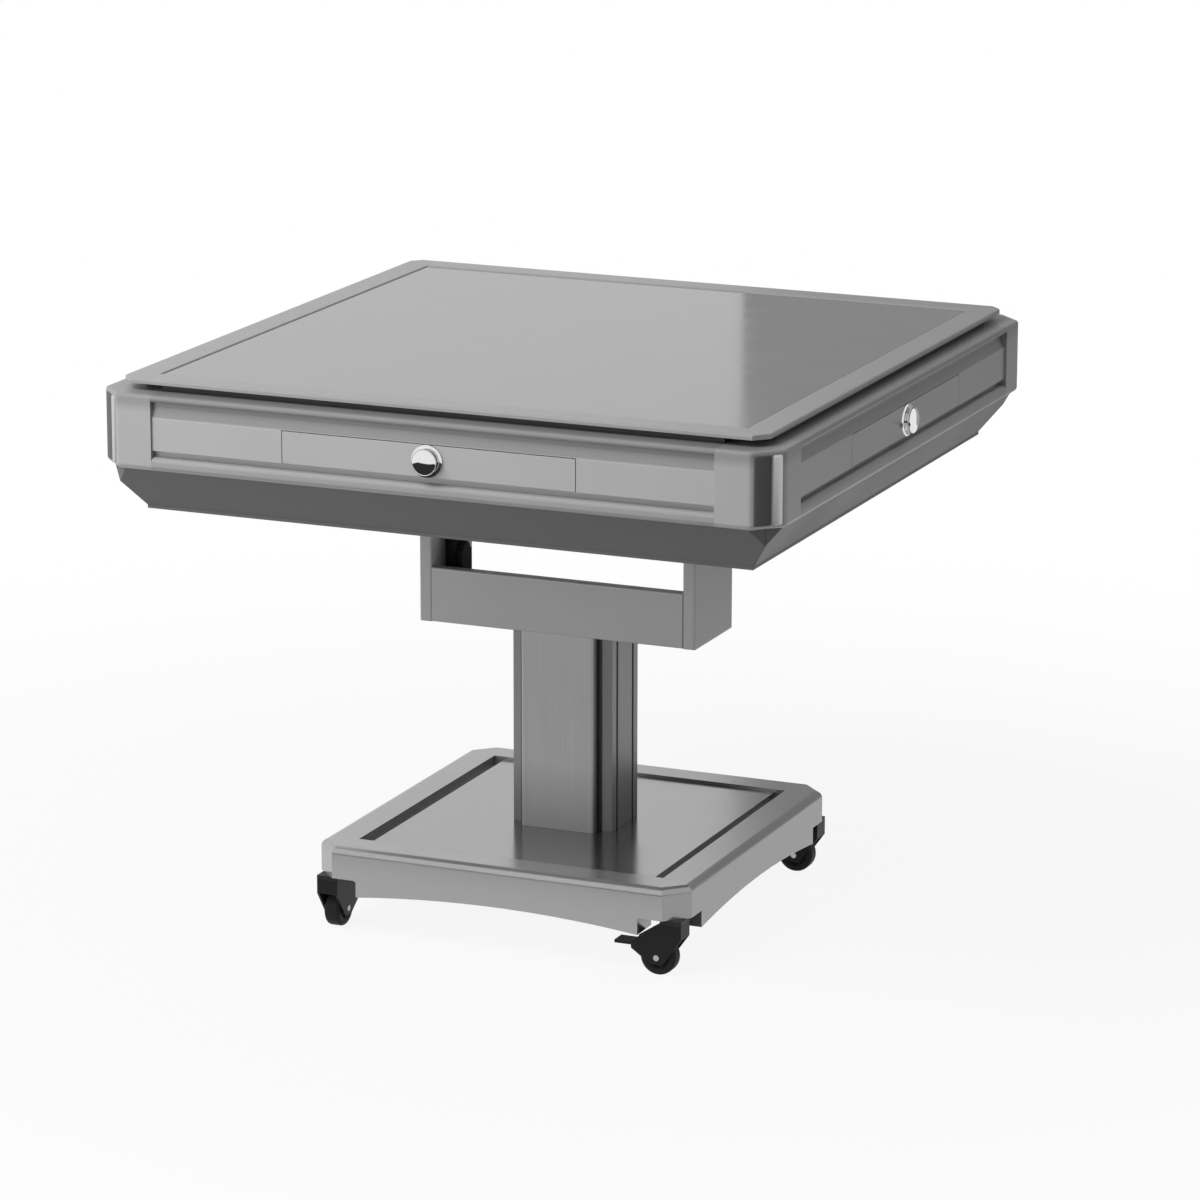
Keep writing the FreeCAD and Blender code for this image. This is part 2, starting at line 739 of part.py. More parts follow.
def power_panel():
    panel_bottom = size.body_bottom - size.panel_height
    left = floor_half - size.panel_side_inset - size.panel_length
    front = floor_half - size.panel_rear_inset - size.panel_width
    middle = front + size.panel_width / 2
    panel = block("panel_blank", (left, front, panel_bottom),
                  (left + size.panel_length, front + size.panel_width, size.body_bottom))
    socket_left = left + size.socket_inset
    socket_half = size.socket_width / 2
    well_top = panel_bottom + size.socket_depth
    well_start = panel_bottom - size.overrun
    socket = block("panel_socket", (socket_left, middle - socket_half, well_start),
                   (socket_left + size.socket_length, middle + socket_half, well_top))
    rocker_right = left + size.panel_length - size.rocker_inset
    rocker_left = rocker_right - size.rocker_length
    rocker_half = size.rocker_width / 2
    well_half = rocker_half + size.rocker_side_gap
    rocker_bottom = panel_bottom - size.rocker_proud
    well = block("panel_well", (rocker_left - size.rocker_end_gap, middle - well_half, well_start),
                 (rocker_right + size.rocker_end_gap, middle + well_half, well_top))
    pin_place = (rocker_left + rocker_right) / 2
    pin_height = rocker_bottom + size.rocker_height - size.rocker_pin_radius
    pin_start = middle - size.rocker_pin_length / 2
    eye = rod("panel_eye", (pin_place, pin_start - size.seat_gap, pin_height),
              size.rocker_pin_length + size.seat_gap * 2, size.rocker_pin_radius + size.shaft_gap, "y")
    sub_part("power_panel", cut("power_panel", panel, socket, well, eye))
    paddle = block("rocker_paddle", (rocker_left, middle - rocker_half, rocker_bottom),
                   (rocker_right, middle + rocker_half, rocker_bottom + size.rocker_height))
    pin = rod("rocker_pin", (pin_place, pin_start, pin_height), size.rocker_pin_length,
              size.rocker_pin_radius, "y")
    sub_part("rocker_switch", fuse("rocker_switch", paddle, pin))


# Tilt hinge, yoke and tilt lock

def mirrored_pair(name, make):
    """The same piece on the right (+1) and the left (-1) of the table."""
    return group(name, make(1), make(-1))


def between(hand, near, far):
    """Order two distances from the middle plane along X for the right or the left side."""
    return (near, far) if hand > 0 else (-far, -near)


def tilt_brackets():
    ear_outer = arm_inner - size.ear_gap
    ear_inner = ear_outer - size.ear_thickness
    foot = size.body_bottom - size.ear_height
    outline = [
        (size.pivot_setback - size.ear_width / 2, size.body_bottom),
        (size.pivot_setback + size.ear_width / 2, size.body_bottom),
        (size.pivot_setback + size.ear_foot_width / 2, foot),
        (size.pivot_setback - size.ear_foot_width / 2, foot),
    ]

    def ear(hand):
        low, high = between(hand, ear_inner, ear_outer)
        plate = prism("ear_plate", "YZ_Plane", outline, low, high)
        hole = rod("ear_hole", (low - size.overrun, size.pivot_setback, pivot_height),
                   size.ear_thickness + size.overrun * 2, size.pin_radius + size.shaft_gap, "x")
        return cut("ear", plate, hole)

    def pin(hand):
        head_inner = ear_inner - size.pin_head_thickness
        head_low, _ = between(hand, head_inner, ear_inner)
        shaft_low, _ = between(hand, ear_inner, arm_outer)
        head = rod("pin_head", (head_low, size.pivot_setback, pivot_height), size.pin_head_thickness,
                   size.pin_head_radius, "x")
        shaft = rod("pin_shaft", (shaft_low, size.pivot_setback, pivot_height), arm_outer - ear_inner,
                    size.pin_radius, "x")
        return fuse("pin", head, shaft)

    sub_part("tilt_brackets", mirrored_pair("tilt_brackets", ear))
    sub_part("pivot_pins", mirrored_pair("pivot_pins", pin))


def yoke():
    arm_top = size.body_bottom - size.arm_top_gap
    arm_cut = arm_top - size.arm_rear_cut
    outline = [(-size.yoke_front, size.yoke_bottom), (size.yoke_rear, size.yoke_bottom),
               (size.yoke_rear, arm_cut), (size.yoke_rear - size.arm_rear_cut, arm_top),
               (-size.yoke_front, arm_top)]

    def arm(hand):
        low, high = between(hand, arm_inner, arm_outer)
        plate = prism("arm_plate", "YZ_Plane", outline, low, high)
        rounded(plate, size.face_panel_round, edges_at(y=-size.yoke_front, x=high),
                edges_at(y=-size.yoke_front, x=low))
        hole = rod("arm_hole", (low - size.overrun, size.pivot_setback, pivot_height),
                   size.arm_thickness + size.overrun * 2, size.pin_radius + size.shaft_gap, "x")
        return cut("arm", plate, hole)

    def pad(hand):
        low, high = between(hand, (arm_inner + arm_outer - size.pad_width) / 2,
                            (arm_inner + arm_outer + size.pad_width) / 2)
        front = size.pad_setback - size.yoke_front
        pad_top = size.body_bottom - size.seat_gap
        return block("pad", (low, front, arm_top), (high, front + size.pad_length, pad_top))

    sub_part("yoke_arms", mirrored_pair("yoke_arms", arm))
    sub_part("rest_pads", mirrored_pair("rest_pads", pad))
    front_back = size.yoke_plate_thickness - size.yoke_front
    rear_front = size.yoke_rear - size.yoke_plate_thickness
    front_top = size.yoke_bottom + size.yoke_front_height
    front_outline = [(-size.yoke_front, size.yoke_bottom), (front_back, size.yoke_bottom),
                     (front_back, front_top), (-size.yoke_front, front_top)]
    front_plate = prism("yoke_front_plate", "YZ_Plane", front_outline, -arm_inner, arm_inner)
    front_edges = [edges_at(y=-size.yoke_front, z=height) for height in (size.yoke_bottom, front_top)]
    sub_part("yoke_front_plate", rounded(front_plate, size.yoke_plate_round, *front_edges))
    sub_part("yoke_rear_plate", block(
        "yoke_rear_plate", (-arm_inner, rear_front, size.yoke_bottom),
        (arm_inner, size.yoke_rear, size.yoke_bottom + size.yoke_rear_height)))
    sub_part("yoke_floor_plate", block(
        "yoke_floor_plate", (-arm_inner, front_back, size.yoke_bottom),
        (arm_inner, rear_front, size.yoke_bottom + size.yoke_floor_thickness)))


def tilt_lock():
    """A housing on the left arm, a bolt that rises into the keeper hole and the lever that drives it."""
    lock_top = size.lock_bottom + size.lock_height
    bolt_bottom = size.lock_bottom + size.bolt_seat_height
    lever_height = size.lock_bottom + size.lever_hub_height
    case = block("lock_case", (-arm_inner, -size.lock_front, size.lock_bottom),
                 (-lock_face, size.lock_depth - size.lock_front, lock_top))
    bore_bottom = bolt_bottom - size.seat_gap
    bore = rod("lock_bore", (-bolt_place, lock_middle, bore_bottom), lock_top - bore_bottom + size.overrun,
               size.bolt_radius + size.shaft_gap)
    sub_part("lock_housing", cut("lock_housing", case, bore))
    bolt_length = size.body_bottom - size.bolt_floor_gap - bolt_bottom
    bolt = rod("lock_bolt", (-bolt_place, lock_middle, bolt_bottom), bolt_length, size.bolt_radius)
    sub_part("lock_bolt", bolt)
    lever_back = size.seat_gap - lock_face
    lever_half = size.lever_width / 2
    hub = rod("lever_hub", (lever_back, lock_middle, lever_height), size.lever_thickness,
              size.lever_hub_radius, "x")
    grip = block("lever_grip", (lever_back, lock_middle - lever_half, lever_height - size.lever_length),
                 (lever_back + size.lever_thickness, lock_middle + lever_half, lever_height))
    sub_part("lock_lever", fuse("lock_lever", hub, grip))


# Column

def column():
    core_half = size.column_core_width / 2
    hollow_half = core_half - size.column_core_wall
    core = block("core_blank", (-core_half, -core_half, plate_top), (core_half, core_half, size.yoke_bottom))
    hollow = block("core_hollow", (-hollow_half, -hollow_half, plate_top - size.overrun),
                   (hollow_half, hollow_half, size.yoke_bottom + size.overrun))
    sub_part("column_core", cut("column_core", core, hollow))

    face_half = size.face_panel_width / 2
    face_out = core_half + size.face_panel_thickness
    faces = []
    for half_turns in range(2):
        outline = [(-face_half, -face_out), (face_half, -face_out),
                   (face_half, -core_half), (-face_half, -core_half)]
        panel = prism("face_panel", "XY_Plane", outline, plate_top, size.yoke_bottom)
        rounded(panel, size.face_panel_round, edges_at(x=-face_half, y=-face_out),
                edges_at(x=face_half, y=-face_out))
        faces.append(turned(panel, half_turns * QUARTER_TURN * 2))
    sub_part("column_face_panels", group("column_face_panels", *faces))

    side_half = size.side_panel_width / 2
    side_in = core_half + size.side_neck_length
    side_out = side_in + size.side_panel_thickness
    neck_half = side_half - size.side_neck_inset
    end_half = side_half - size.side_panel_slope
    groove = side_out - size.side_groove_depth
    groove_near = size.side_groove_offset - size.side_groove_width / 2
    groove_far = size.side_groove_offset + size.side_groove_width / 2
    rear_run = [
        (side_out, groove_near), (groove, groove_near), (groove, groove_far), (side_out, groove_far),
        (side_out, end_half), (side_in, side_half), (side_in, neck_half), (core_half, neck_half),
    ]
    front_run = [(out, -along) for out, along in reversed(rear_run)]

    def side(hand):
        outline = [(hand * out, along) for out, along in front_run + rear_run]
        return prism("side_panel", "XY_Plane", outline, plate_top, size.yoke_bottom)

    sub_part("column_side_panels", mirrored_pair("column_side_panels", side))


# Base and casters

def base():
    arch_half = base_half - size.base_arch_inset
    rise = size.base_arch_rise
    arch_radius = (arch_half * arch_half + rise * rise) / (rise * 2)
    arch_centre = base_bottom + rise - arch_radius
    flat = base_half - size.base_corner_cut
    cross_outline = [(-base_half, -base_inner), (-base_half, -flat), (-flat, -base_half),
                     (flat, -base_half), (base_half, -flat), (base_half, -base_inner)]
    pocket_out = base_half + size.overrun
    pocket_in = caster_place - size.caster_pocket
    pocket_low = base_bottom - size.overrun
    top_edges = edges_at(z=size.base_top)
    inner_edges = edges_at(y=-base_inner)
    cross_rails = []
    side_rails = []
    for half_turns in range(2):
        bar = prism("cross_bar", "XY_Plane", cross_outline, base_bottom, size.base_top)
        rounded(bar, size.base_rail_round, lambda edge: top_edges(edge) and not inner_edges(edge))
        arch = rod("cross_arch", (0, -base_half - size.overrun, arch_centre),
                   size.base_rail_width + size.overrun * 2, arch_radius, "y")
        pockets = []
        for hand in (1, -1):
            low, high = between(hand, pocket_in, pocket_out)
            pockets.append(block("cross_pocket", (low, -pocket_out, pocket_low),
                                 (high, -pocket_in, size.caster_height)))
        cross_rails.append(turned(cut("cross_rail", bar, arch, *pockets), half_turns * QUARTER_TURN * 2))

        ledge_top = plate_bottom
        ledge_bottom = ledge_top - size.base_ledge_thickness
        ledge_in = base_inner - size.base_ledge_width
        section = [(base_inner, base_bottom), (base_half, base_bottom), (base_half, size.base_top),
                   (base_inner, size.base_top), (base_inner, ledge_top), (ledge_in, ledge_top),
                   (ledge_in, ledge_bottom), (base_inner, ledge_bottom)]
        side_bar = prism("side_bar", "XZ_Plane", section, -base_inner, base_inner)
        rounded(side_bar, size.base_rail_round, edges_at(x=base_half, z=size.base_top))
        side_arch = rod("side_arch", (base_inner - size.overrun, 0, arch_centre),
                        size.base_rail_width + size.overrun * 2, arch_radius, "x")
        side_pockets = []
        for hand in (1, -1):
            low, high = between(hand, pocket_in, pocket_out)
            side_pockets.append(block("side_pocket", (pocket_in, low, pocket_low),
                                      (pocket_out, high, size.caster_height)))
        side_rail = cut("side_rail", side_bar, side_arch, *side_pockets)
        side_rails.append(turned(side_rail, half_turns * QUARTER_TURN * 2))
    sub_part("base_cross_rails", group("base_cross_rails", *cross_rails))
    sub_part("base_side_rails", group("base_side_rails", *side_rails))
    plate_half = base_inner - size.base_slot_width
    plate_reach = base_inner - size.seat_gap
    sub_part("base_plate", block("base_plate", (-plate_half, -plate_reach, plate_bottom),
                                 (plate_half, plate_reach, plate_top)))


def caster_sockets():
    sockets = []
    half = size.socket_plate_width / 2
    bottom = size.caster_height - size.socket_plate_thickness
    bore_length = size.socket_plate_thickness + size.overrun * 2
    bore_radius = size.stem_radius + size.shaft_gap
    for side_x, side_y, _ in CASTER_PLACE_SHARES.values():
        x = side_x * caster_place
        y = side_y * caster_place
        plate = block("socket_plate", (x - half, y - half, bottom), (x + half, y + half, size.caster_height))
        bore = rod("socket_bore", (x, y, bottom - size.overrun), bore_length, bore_radius)
        sockets.append(cut("socket", plate, bore))
    sub_part("caster_sockets", group("caster_sockets", *sockets))


def caster(place, side_x, side_y, quarter):
    """A swivelling fork whose wheel trails towards its own -X, with its axle and any brake pedal."""
    crown_top = size.caster_height - size.socket_plate_thickness - size.seat_gap
    wheel_top = size.wheel_radius * 2
    slot_top = wheel_top + size.fork_top_gap
    slot_half = size.wheel_width / 2 + size.fork_side_gap
    fork_half = slot_half + size.fork_wall
    foot = size.wheel_radius - size.fork_foot_drop
    axle_back = -size.caster_trail
    pedal_back = axle_back - size.pedal_setback
    cheek_reach = size.pedal_setback if place in BRAKED else size.fork_foot_width
    cheek_end = axle_back - cheek_reach - size.pedal_hub_radius - size.fork_wall
    outline = [
        (size.crown_radius, crown_top), (size.crown_radius, slot_top),
        (axle_back + size.fork_foot_width / 2, foot), (axle_back - size.fork_foot_width / 2, foot),
        (cheek_end, size.pedal_pin_height - size.pedal_hub_radius),
        (cheek_end, size.pedal_pin_height + size.pedal_hub_radius),
        (-size.crown_radius, crown_top),
    ]
    cheeks = prism(f"fork_cheeks_{place}", "XZ_Plane", outline, -fork_half, fork_half)
    stem = rod(f"fork_stem_{place}", (0, 0, crown_top), size.stem_length, size.stem_radius)
    wheel_slot = block(f"fork_slot_{place}", (cheek_end - size.overrun, -slot_half, 0),
                       (size.crown_radius + size.overrun, slot_half, slot_top))
    pedal_slot = block(f"fork_gap_{place}", (cheek_end - size.overrun, -slot_half, 0),
                       (-size.crown_radius, slot_half, crown_top + size.overrun))
    width = fork_half * 2
    hole_length = width + size.overrun * 2
    hole_start = -fork_half - size.overrun
    axle_hole = rod(f"fork_eye_{place}", (axle_back, hole_start, size.wheel_radius), hole_length,
                    size.axle_radius + size.shaft_gap, "y")
    tools = [wheel_slot, pedal_slot, axle_hole]
    if place in BRAKED:
        tools.append(rod(f"fork_pedal_eye_{place}", (pedal_back, hole_start, size.pedal_pin_height),
                         hole_length, size.pedal_pin_radius + size.shaft_gap, "y"))
    fork = cut(f"caster_fork_{place}", fuse(f"fork_solid_{place}", cheeks, stem), *tools)

    axle = rod(f"axle_{place}", (axle_back, -fork_half - size.axle_proud, size.wheel_radius),
               width + size.axle_proud * 2, size.axle_radius, "y")
    rim_half = size.wheel_width / 2
    tread_half = rim_half - size.wheel_bevel
    bore = size.axle_radius + size.shaft_gap
    shoulder = size.wheel_radius - size.wheel_bevel
    wheel = lathe(f"wheel_{place}", [
        (bore, -rim_half), (shoulder, -rim_half), (size.wheel_radius, -tread_half),
        (size.wheel_radius, tread_half), (shoulder, rim_half), (bore, rim_half)])
    moved(wheel, axle_back, 0, size.wheel_radius)

    pieces = {f"caster_fork_{place}": fork}
    pieces[f"caster_axle_{place}"] = group(f"caster_axle_{place}", axle)
    pieces[f"caster_wheel_{place}"] = group(f"caster_wheel_{place}", wheel)
    if place in BRAKED:
        hub_half = slot_half - size.seat_gap
        hub = rod(f"pedal_hub_{place}", (pedal_back, -hub_half, size.pedal_pin_height), hub_half * 2,
                  size.pedal_hub_radius, "y")
        pin = rod(f"pedal_pin_{place}", (pedal_back, -fork_half, size.pedal_pin_height), width,
                  size.pedal_pin_radius, "y")
        tread_low = size.pedal_pin_height - size.pedal_thickness / 2
        tread = block(f"pedal_tread_{place}", (pedal_back - size.pedal_length, -hub_half, tread_low),
                      (pedal_back, hub_half, tread_low + size.pedal_thickness))
        pieces[f"brake_pedal_{place}"] = fuse(f"brake_pedal_{place}", hub, pin, tread)
    for label, piece in pieces.items():
        turned(piece, quarter * QUARTER_TURN)
        moved(piece, side_x * caster_place, side_y * caster_place)
        sub_part(label, piece)


def write_parts():
    """Check every object, then write one file for each sub-part."""
    doc.recompute()
    failed = [item.Label for item in doc.Objects if {"Invalid", "Error"} & set(item.State)]
    if failed:
        raise RuntimeError(f"these objects failed: {failed}")
    for piece in sub_parts:
        if piece.Shape.isNull() or not piece.Shape.isValid():
            raise RuntimeError(f"{piece.Label} has no valid shape")
    os.makedirs("parts", exist_ok=True)
    for piece in sub_parts:
        piece.Shape.exportStep(f"parts/{piece.Label}.step")
    print(len(sub_parts), "sub-parts written")


def main():
    floor_plate()
    skirt_panels()
    corner_blocks()
    rim_rails()
    cover_board()
    play_board()
    for quarter, side in enumerate(SIDES):
        fascia(side, quarter)
        drawer(side, quarter)
        drawer_knob(side, quarter)
    console()
    tile_lifts()
    turntable()
    control_box()
    power_panel()
    tilt_brackets()
    yoke()
    tilt_lock()
    column()
    base()
    caster_sockets()
    for place, (side_x, side_y, quarter) in CASTER_PLACE_SHARES.items():
        caster(place, side_x, side_y, quarter)
    write_parts()


main()
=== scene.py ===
"""Finishes, knobs, wheels and studio stage for the automatic mahjong table."""
import math

import bmesh
import bpy
from bpy.props import FloatProperty, FloatVectorProperty, IntProperty, PointerProperty
from mathutils import Matrix, Vector


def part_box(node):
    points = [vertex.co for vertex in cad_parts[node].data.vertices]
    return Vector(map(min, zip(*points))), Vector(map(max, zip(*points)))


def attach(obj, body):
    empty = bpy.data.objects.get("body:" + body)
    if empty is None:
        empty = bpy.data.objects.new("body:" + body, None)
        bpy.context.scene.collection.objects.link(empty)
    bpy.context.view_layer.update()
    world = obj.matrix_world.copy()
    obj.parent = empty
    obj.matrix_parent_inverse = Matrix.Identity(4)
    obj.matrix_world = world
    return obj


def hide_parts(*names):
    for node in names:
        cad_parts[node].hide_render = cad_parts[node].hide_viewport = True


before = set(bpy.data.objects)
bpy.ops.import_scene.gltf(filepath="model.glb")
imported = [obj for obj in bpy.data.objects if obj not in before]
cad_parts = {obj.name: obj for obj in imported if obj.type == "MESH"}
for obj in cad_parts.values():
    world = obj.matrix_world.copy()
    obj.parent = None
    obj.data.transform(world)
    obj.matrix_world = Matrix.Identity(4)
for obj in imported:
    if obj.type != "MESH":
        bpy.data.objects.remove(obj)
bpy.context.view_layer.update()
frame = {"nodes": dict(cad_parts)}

bl_info = {
    "name": "Mahjong Table Finishes",
    "version": (1, 0, 0),
    "blender": (4, 5, 0),
    "location": "View3D > Sidebar > Table",
    "description": "Gives the automatic mahjong table its finishes, knobs, wheels and studio",
    "category": "Object",
}

SIDES = ("front", "right", "rear", "left")
PLACES = ("front_left", "front_right", "rear_left", "rear_right")
CORNERS = ("front_right", "rear_right", "rear_left", "front_left")

# Pieces of the table that share a finish
DRAWER_NODES = tuple(f"drawer_{side}" for side in SIDES)
FASCIA_NODES = tuple(f"fascia_{side}" for side in SIDES)
FRAME_NODES = ("yoke_arms", "yoke_front_plate", "yoke_floor_plate", "yoke_rear_plate")
BASE_NODES = ("base_cross_rails", "base_side_rails")
LIFT_NODES = ("tile_lifts", "lift_guides", "centre_post", "control_box")
STEEL_NODES = ("pivot_pins", "tilt_brackets", "lock_bolt", "drive_motor",
               *(f"caster_axle_{place}" for place in PLACES))
BLACK_NODES = ("power_panel", "rocker_switch", "console", "turntable",
               *(f"caster_fork_{place}" for place in PLACES),
               *(name for name in frame["nodes"] if name.startswith("brake_pedal_")))
LOCK_NODES = ("lock_housing", "lock_lever")
RUBBER_NODES = ("rest_pads", "drive_roller")

# Noise and wear of the finishes; scales count in turns per metre
NOISE_MIDDLE = 0.5
CLOUD_SCALE = 9.0
WEAR_SCALE = 130.0
WEAR_GAIN = 9.0
EDGE_SAMPLES = 6
PALE_GAIN = 1.9
PALE_LIFT = 0.06
DUST_SCALE = 22.0
DUST_FALL = 3.0
WEAVE_SWAY = 1.5
WEAVE_MIDDLE = 0.4
WEAVE_TONE = 0.75
FUZZ_SCALE = 60.0
FUZZ_SHARE = 0.5
FINE_BUMP = 0.00004
LOW_SHINE = 0.15

# Fineness of the turned and rounded shapes
SMOOTH_ANGLE = math.radians(38)
ON_AXIS = 1e-6
ROSE_STEPS = 6
NECK_STEPS = 5
CROWN_STEPS = 16
TREAD_STEPS = 7
RIB_STEPS = 3
STRIP_STEPS = 14
STRIP_END_STEPS = 6
STRIP_END_START = 8

# Camera back, lamps, floor and cards of the stage; places are in metres
SENSOR_WIDTH = 36.0
FAR_CLIP = 100.0
WHITE = (1.0, 1.0, 1.0, 1.0)
LAMP_TARGET = Vector((0, 0, 0.45))
LAMP_PLACES = {"key": (-1.75, -2.35, 3.9), "front": (-1.5, -3.3, 0.75), "rear": (1.2, 2.6, 2.8)}
FLOOR_FACETS = 96
FLOOR_FADE = (0.35, 0.98)
GREY_CARD = ((-0.530, 1.948, -0.2), (2.222, 3.141, -0.2), (2.222, 3.141, 3.2), (-0.530, 1.948, 3.2))
DARK_FLAG = ((-2.4, -3.6, 0.004), (2.4, -3.6, 0.004), (2.4, -0.62, 0.004), (-2.4, -0.62, 0.004))
UNSEEN_BY = ("camera", "diffuse", "transmission", "shadow", "volume_scatter")


# Grain of each finish: the shared node group that draws it, and that group's values
def satin(flake, clouding, roughness, scale=1400.0):
    """Flake and faint clouding of a paint, a moulding or a plating."""
    return "satin_flake", {"Flake": flake, "Clouding": clouding, "Roughness": roughness, "Flake_Scale": scale}


def drawn(lines, roughness, stretch):
    """Fine lines of drawn or machined metal."""
    return "drawn_lines", {"Lines": lines, "Roughness": roughness, "Stretch": stretch}


GRAINS = {
    "shell": satin(flake=0.10, clouding=0.10, roughness=0.36),
    "skirt": satin(flake=0.16, clouding=0.18, roughness=0.50, scale=900.0),
    "sheet": satin(flake=0.20, clouding=0.20, roughness=0.45, scale=700.0),
    "laminate": satin(flake=0.05, clouding=0.05, roughness=0.05, scale=500.0),
    "cloth": ("cloth_weave", {}),
    "lift": satin(flake=0.16, clouding=0.15, roughness=0.42, scale=1000.0),
    "cap": satin(flake=0.06, clouding=0.08, roughness=0.20),
    "frame": satin(flake=0.12, clouding=0.12, roughness=0.38),
    "base": satin(flake=0.08, clouding=0.10, roughness=0.18),
    "column": drawn(lines=0.22, roughness=0.36, stretch=(330.0, 330.0, 3.0)),
    "plate": satin(flake=0.04, clouding=0.06, roughness=0.13),
    "core": satin(flake=0.20, clouding=0.20, roughness=0.45),
    "steel": drawn(lines=0.25, roughness=0.32, stretch=(40.0, 40.0, 900.0)),
    "socket": satin(flake=0.25, clouding=0.25, roughness=0.40, scale=900.0),
    "black": satin(flake=0.30, clouding=0.25, roughness=0.38, scale=1100.0),
    "lock": satin(flake=0.30, clouding=0.20, roughness=0.75, scale=1100.0),
    "rubber": satin(flake=0.35, clouding=0.30, roughness=0.62, scale=800.0),
    "chrome": satin(flake=0.03, clouding=0.05, roughness=0.07, scale=500.0),
    # Grains of the corner strips of painted shade and painted highlight.
    "shade_inlay": satin(flake=0.20, clouding=0.20, roughness=0.62, scale=1000.0),
    "highlight_bead": drawn(lines=0.10, roughness=0.38, stretch=(1200.0, 1200.0, 30.0)),
    "tread": satin(flake=0.30, clouding=0.35, roughness=0.55, scale=700.0),
    "hub": satin(flake=0.25, clouding=0.25, roughness=0.40, scale=1100.0),
}


# Values a user would change
def colour(name, text, value):
    """A colour property, given as the linear red, green and blue of the bare finish."""
    return FloatVectorProperty(name=name, description=text, default=value, subtype="COLOR",
                               size=3, min=0.0, max=1.0)


def length(name, text, value):
    """A length property in metres."""
    return FloatProperty(name=name, description=text, default=value, unit="LENGTH", min=0.0)


def share(name, text, value):
    """A property that runs from nothing to all of something."""
    return FloatProperty(name=name, description=text, default=value, subtype="FACTOR", min=0.0, max=1.0)


class TableFinishes(bpy.types.PropertyGroup):
    """Colours of the table's finishes, how they wear, and the painted shade and painted highlight laid on
    them.
    """
    shell: colour("Shell", "Satin silver paint of the moulded corners", (0.345, 0.340, 0.342))
    drawer: colour("Drawers", "Satin silver paint of the sides and drawer fronts", (0.362, 0.357, 0.359))
    rim: colour("Rim", "Satin silver of the rails round the top", (0.300, 0.296, 0.298))
    # Painted shade: this dark colour stands for the shadow in the gap under the rim, not a paint of its own.
    groove_shade: colour("Groove", "Dark paint of the groove under the rim", (0.030, 0.029, 0.029))
    # Painted shade and painted highlight: the dark and bright corner strips stand for the shading of a
    # rounded corner.
    shade_inlay: colour("Corner inlay", "Dark inlay on the corners", (0.105, 0.102, 0.101))
    highlight_bead: colour("Corner bead", "Bright bead beside the inlay", (0.540, 0.533, 0.531))
    board: colour("Board", "Grey laminate of the inset board", (0.165, 0.162, 0.165))
    skirt: colour("Skirt", "Dark grey of the sloping skirt", (0.098, 0.095, 0.094))
    sheet: colour("Sheet", "Dark coat of the floor sheet", (0.110, 0.110, 0.112))
    frame: colour("Frame", "Satin silver of the yoke", (0.375, 0.370, 0.371))
    base: colour("Base", "Satin silver of the base rails", (0.350, 0.345, 0.346))
    column: colour("Column", "Drawn silver of the column's faces", (0.430, 0.424, 0.425))
    # Painted shade: a darker copy of the column's silver, for the ribbed sides that face away from the light.
    column_side_shaded: colour("Column sides", "Drawn silver of the column's ribbed sides", (0.240, 0.236, 0.237))
    plate: colour("Base plate", "Polished silver of the recessed base plate", (0.300, 0.297, 0.297))
    core: colour("Core", "Dark paint between the column panels", (0.045, 0.044, 0.044))
    chrome: colour("Chrome", "Bright plating of the knobs", (0.780, 0.780, 0.785))
    steel: colour("Steel", "Plain steel of pins and brackets", (0.420, 0.415, 0.410))
    zinc: colour("Sockets", "Dark plating of the caster sockets", (0.022, 0.021, 0.020))
    black: colour("Black moulding", "Black plastic of casters and switches", (0.010, 0.009, 0.009))
    tread: colour("Tread", "Black of the wheel treads and the tilt lock", (0.012, 0.011, 0.011))
    rubber: colour("Rubber", "Black rubber of the pads", (0.018, 0.018, 0.018))
    cloth: colour("Cloth", "Green cloth of the playing board", (0.030, 0.105, 0.075))
    button: colour("Button", "Red cap of the start button", (0.420, 0.040, 0.032))
    dust_tint: colour("Dust tint", "Dust on level faces", (0.42, 0.41, 0.39))
    dust: share("Dust", "How much dust lies on level faces", 0.10)
    edge_width: length("Edge width", "How far rubbed edges reach", 0.0009)
    edge_wear: share("Edge wear", "How bright rubbed edges are", 0.16)
    # Painted shade: the rim's lower part takes the dark colour that stands for the shadow under the rim.
    groove_shade_share: share("Groove share", "Lower part of the rim that is painted dark", 0.55)
    # Painted shade on the fascia: the part above the drawer band and the part below it are coloured darker
    # for the shade that falls there.
    cove_shade_tone: share("Cove tone", "Share of the paint's colour kept above the drawer band", 0.58)
    cove_shade_fade: length("Cove fade", "Height over which the cove darkens", 0.003)
    lip_shade_tone: share("Lip tone", "Share of the paint's colour kept below the drawer band", 0.78)
    lip_shade_fade: length("Lip fade", "Height over which the lip darkens", 0.006)
    # Painted shade on the corners: their upper part is coloured darker, as the fascia is above the drawer
    # band.
    corner_shade_tone: share("Corner tone", "Share of the paint's colour kept at the top of the corners", 0.72)
    corner_shade_start: length("Corner start", "Where corners start to darken, above the drawer band", 0.006)
    corner_shade_end: length("Corner end", "Where corners have darkened, below their top", 0.008)
    # Painted shade: the column's colour darkens towards its foot, standing for the shade near the floor and
    # base.
    foot_shade_tone: share("Scuff tone", "Share of the column's colour kept at its foot", 0.62)
    foot_shade_height: length("Scuff height", "How far up the column the scuffs reach", 0.100)


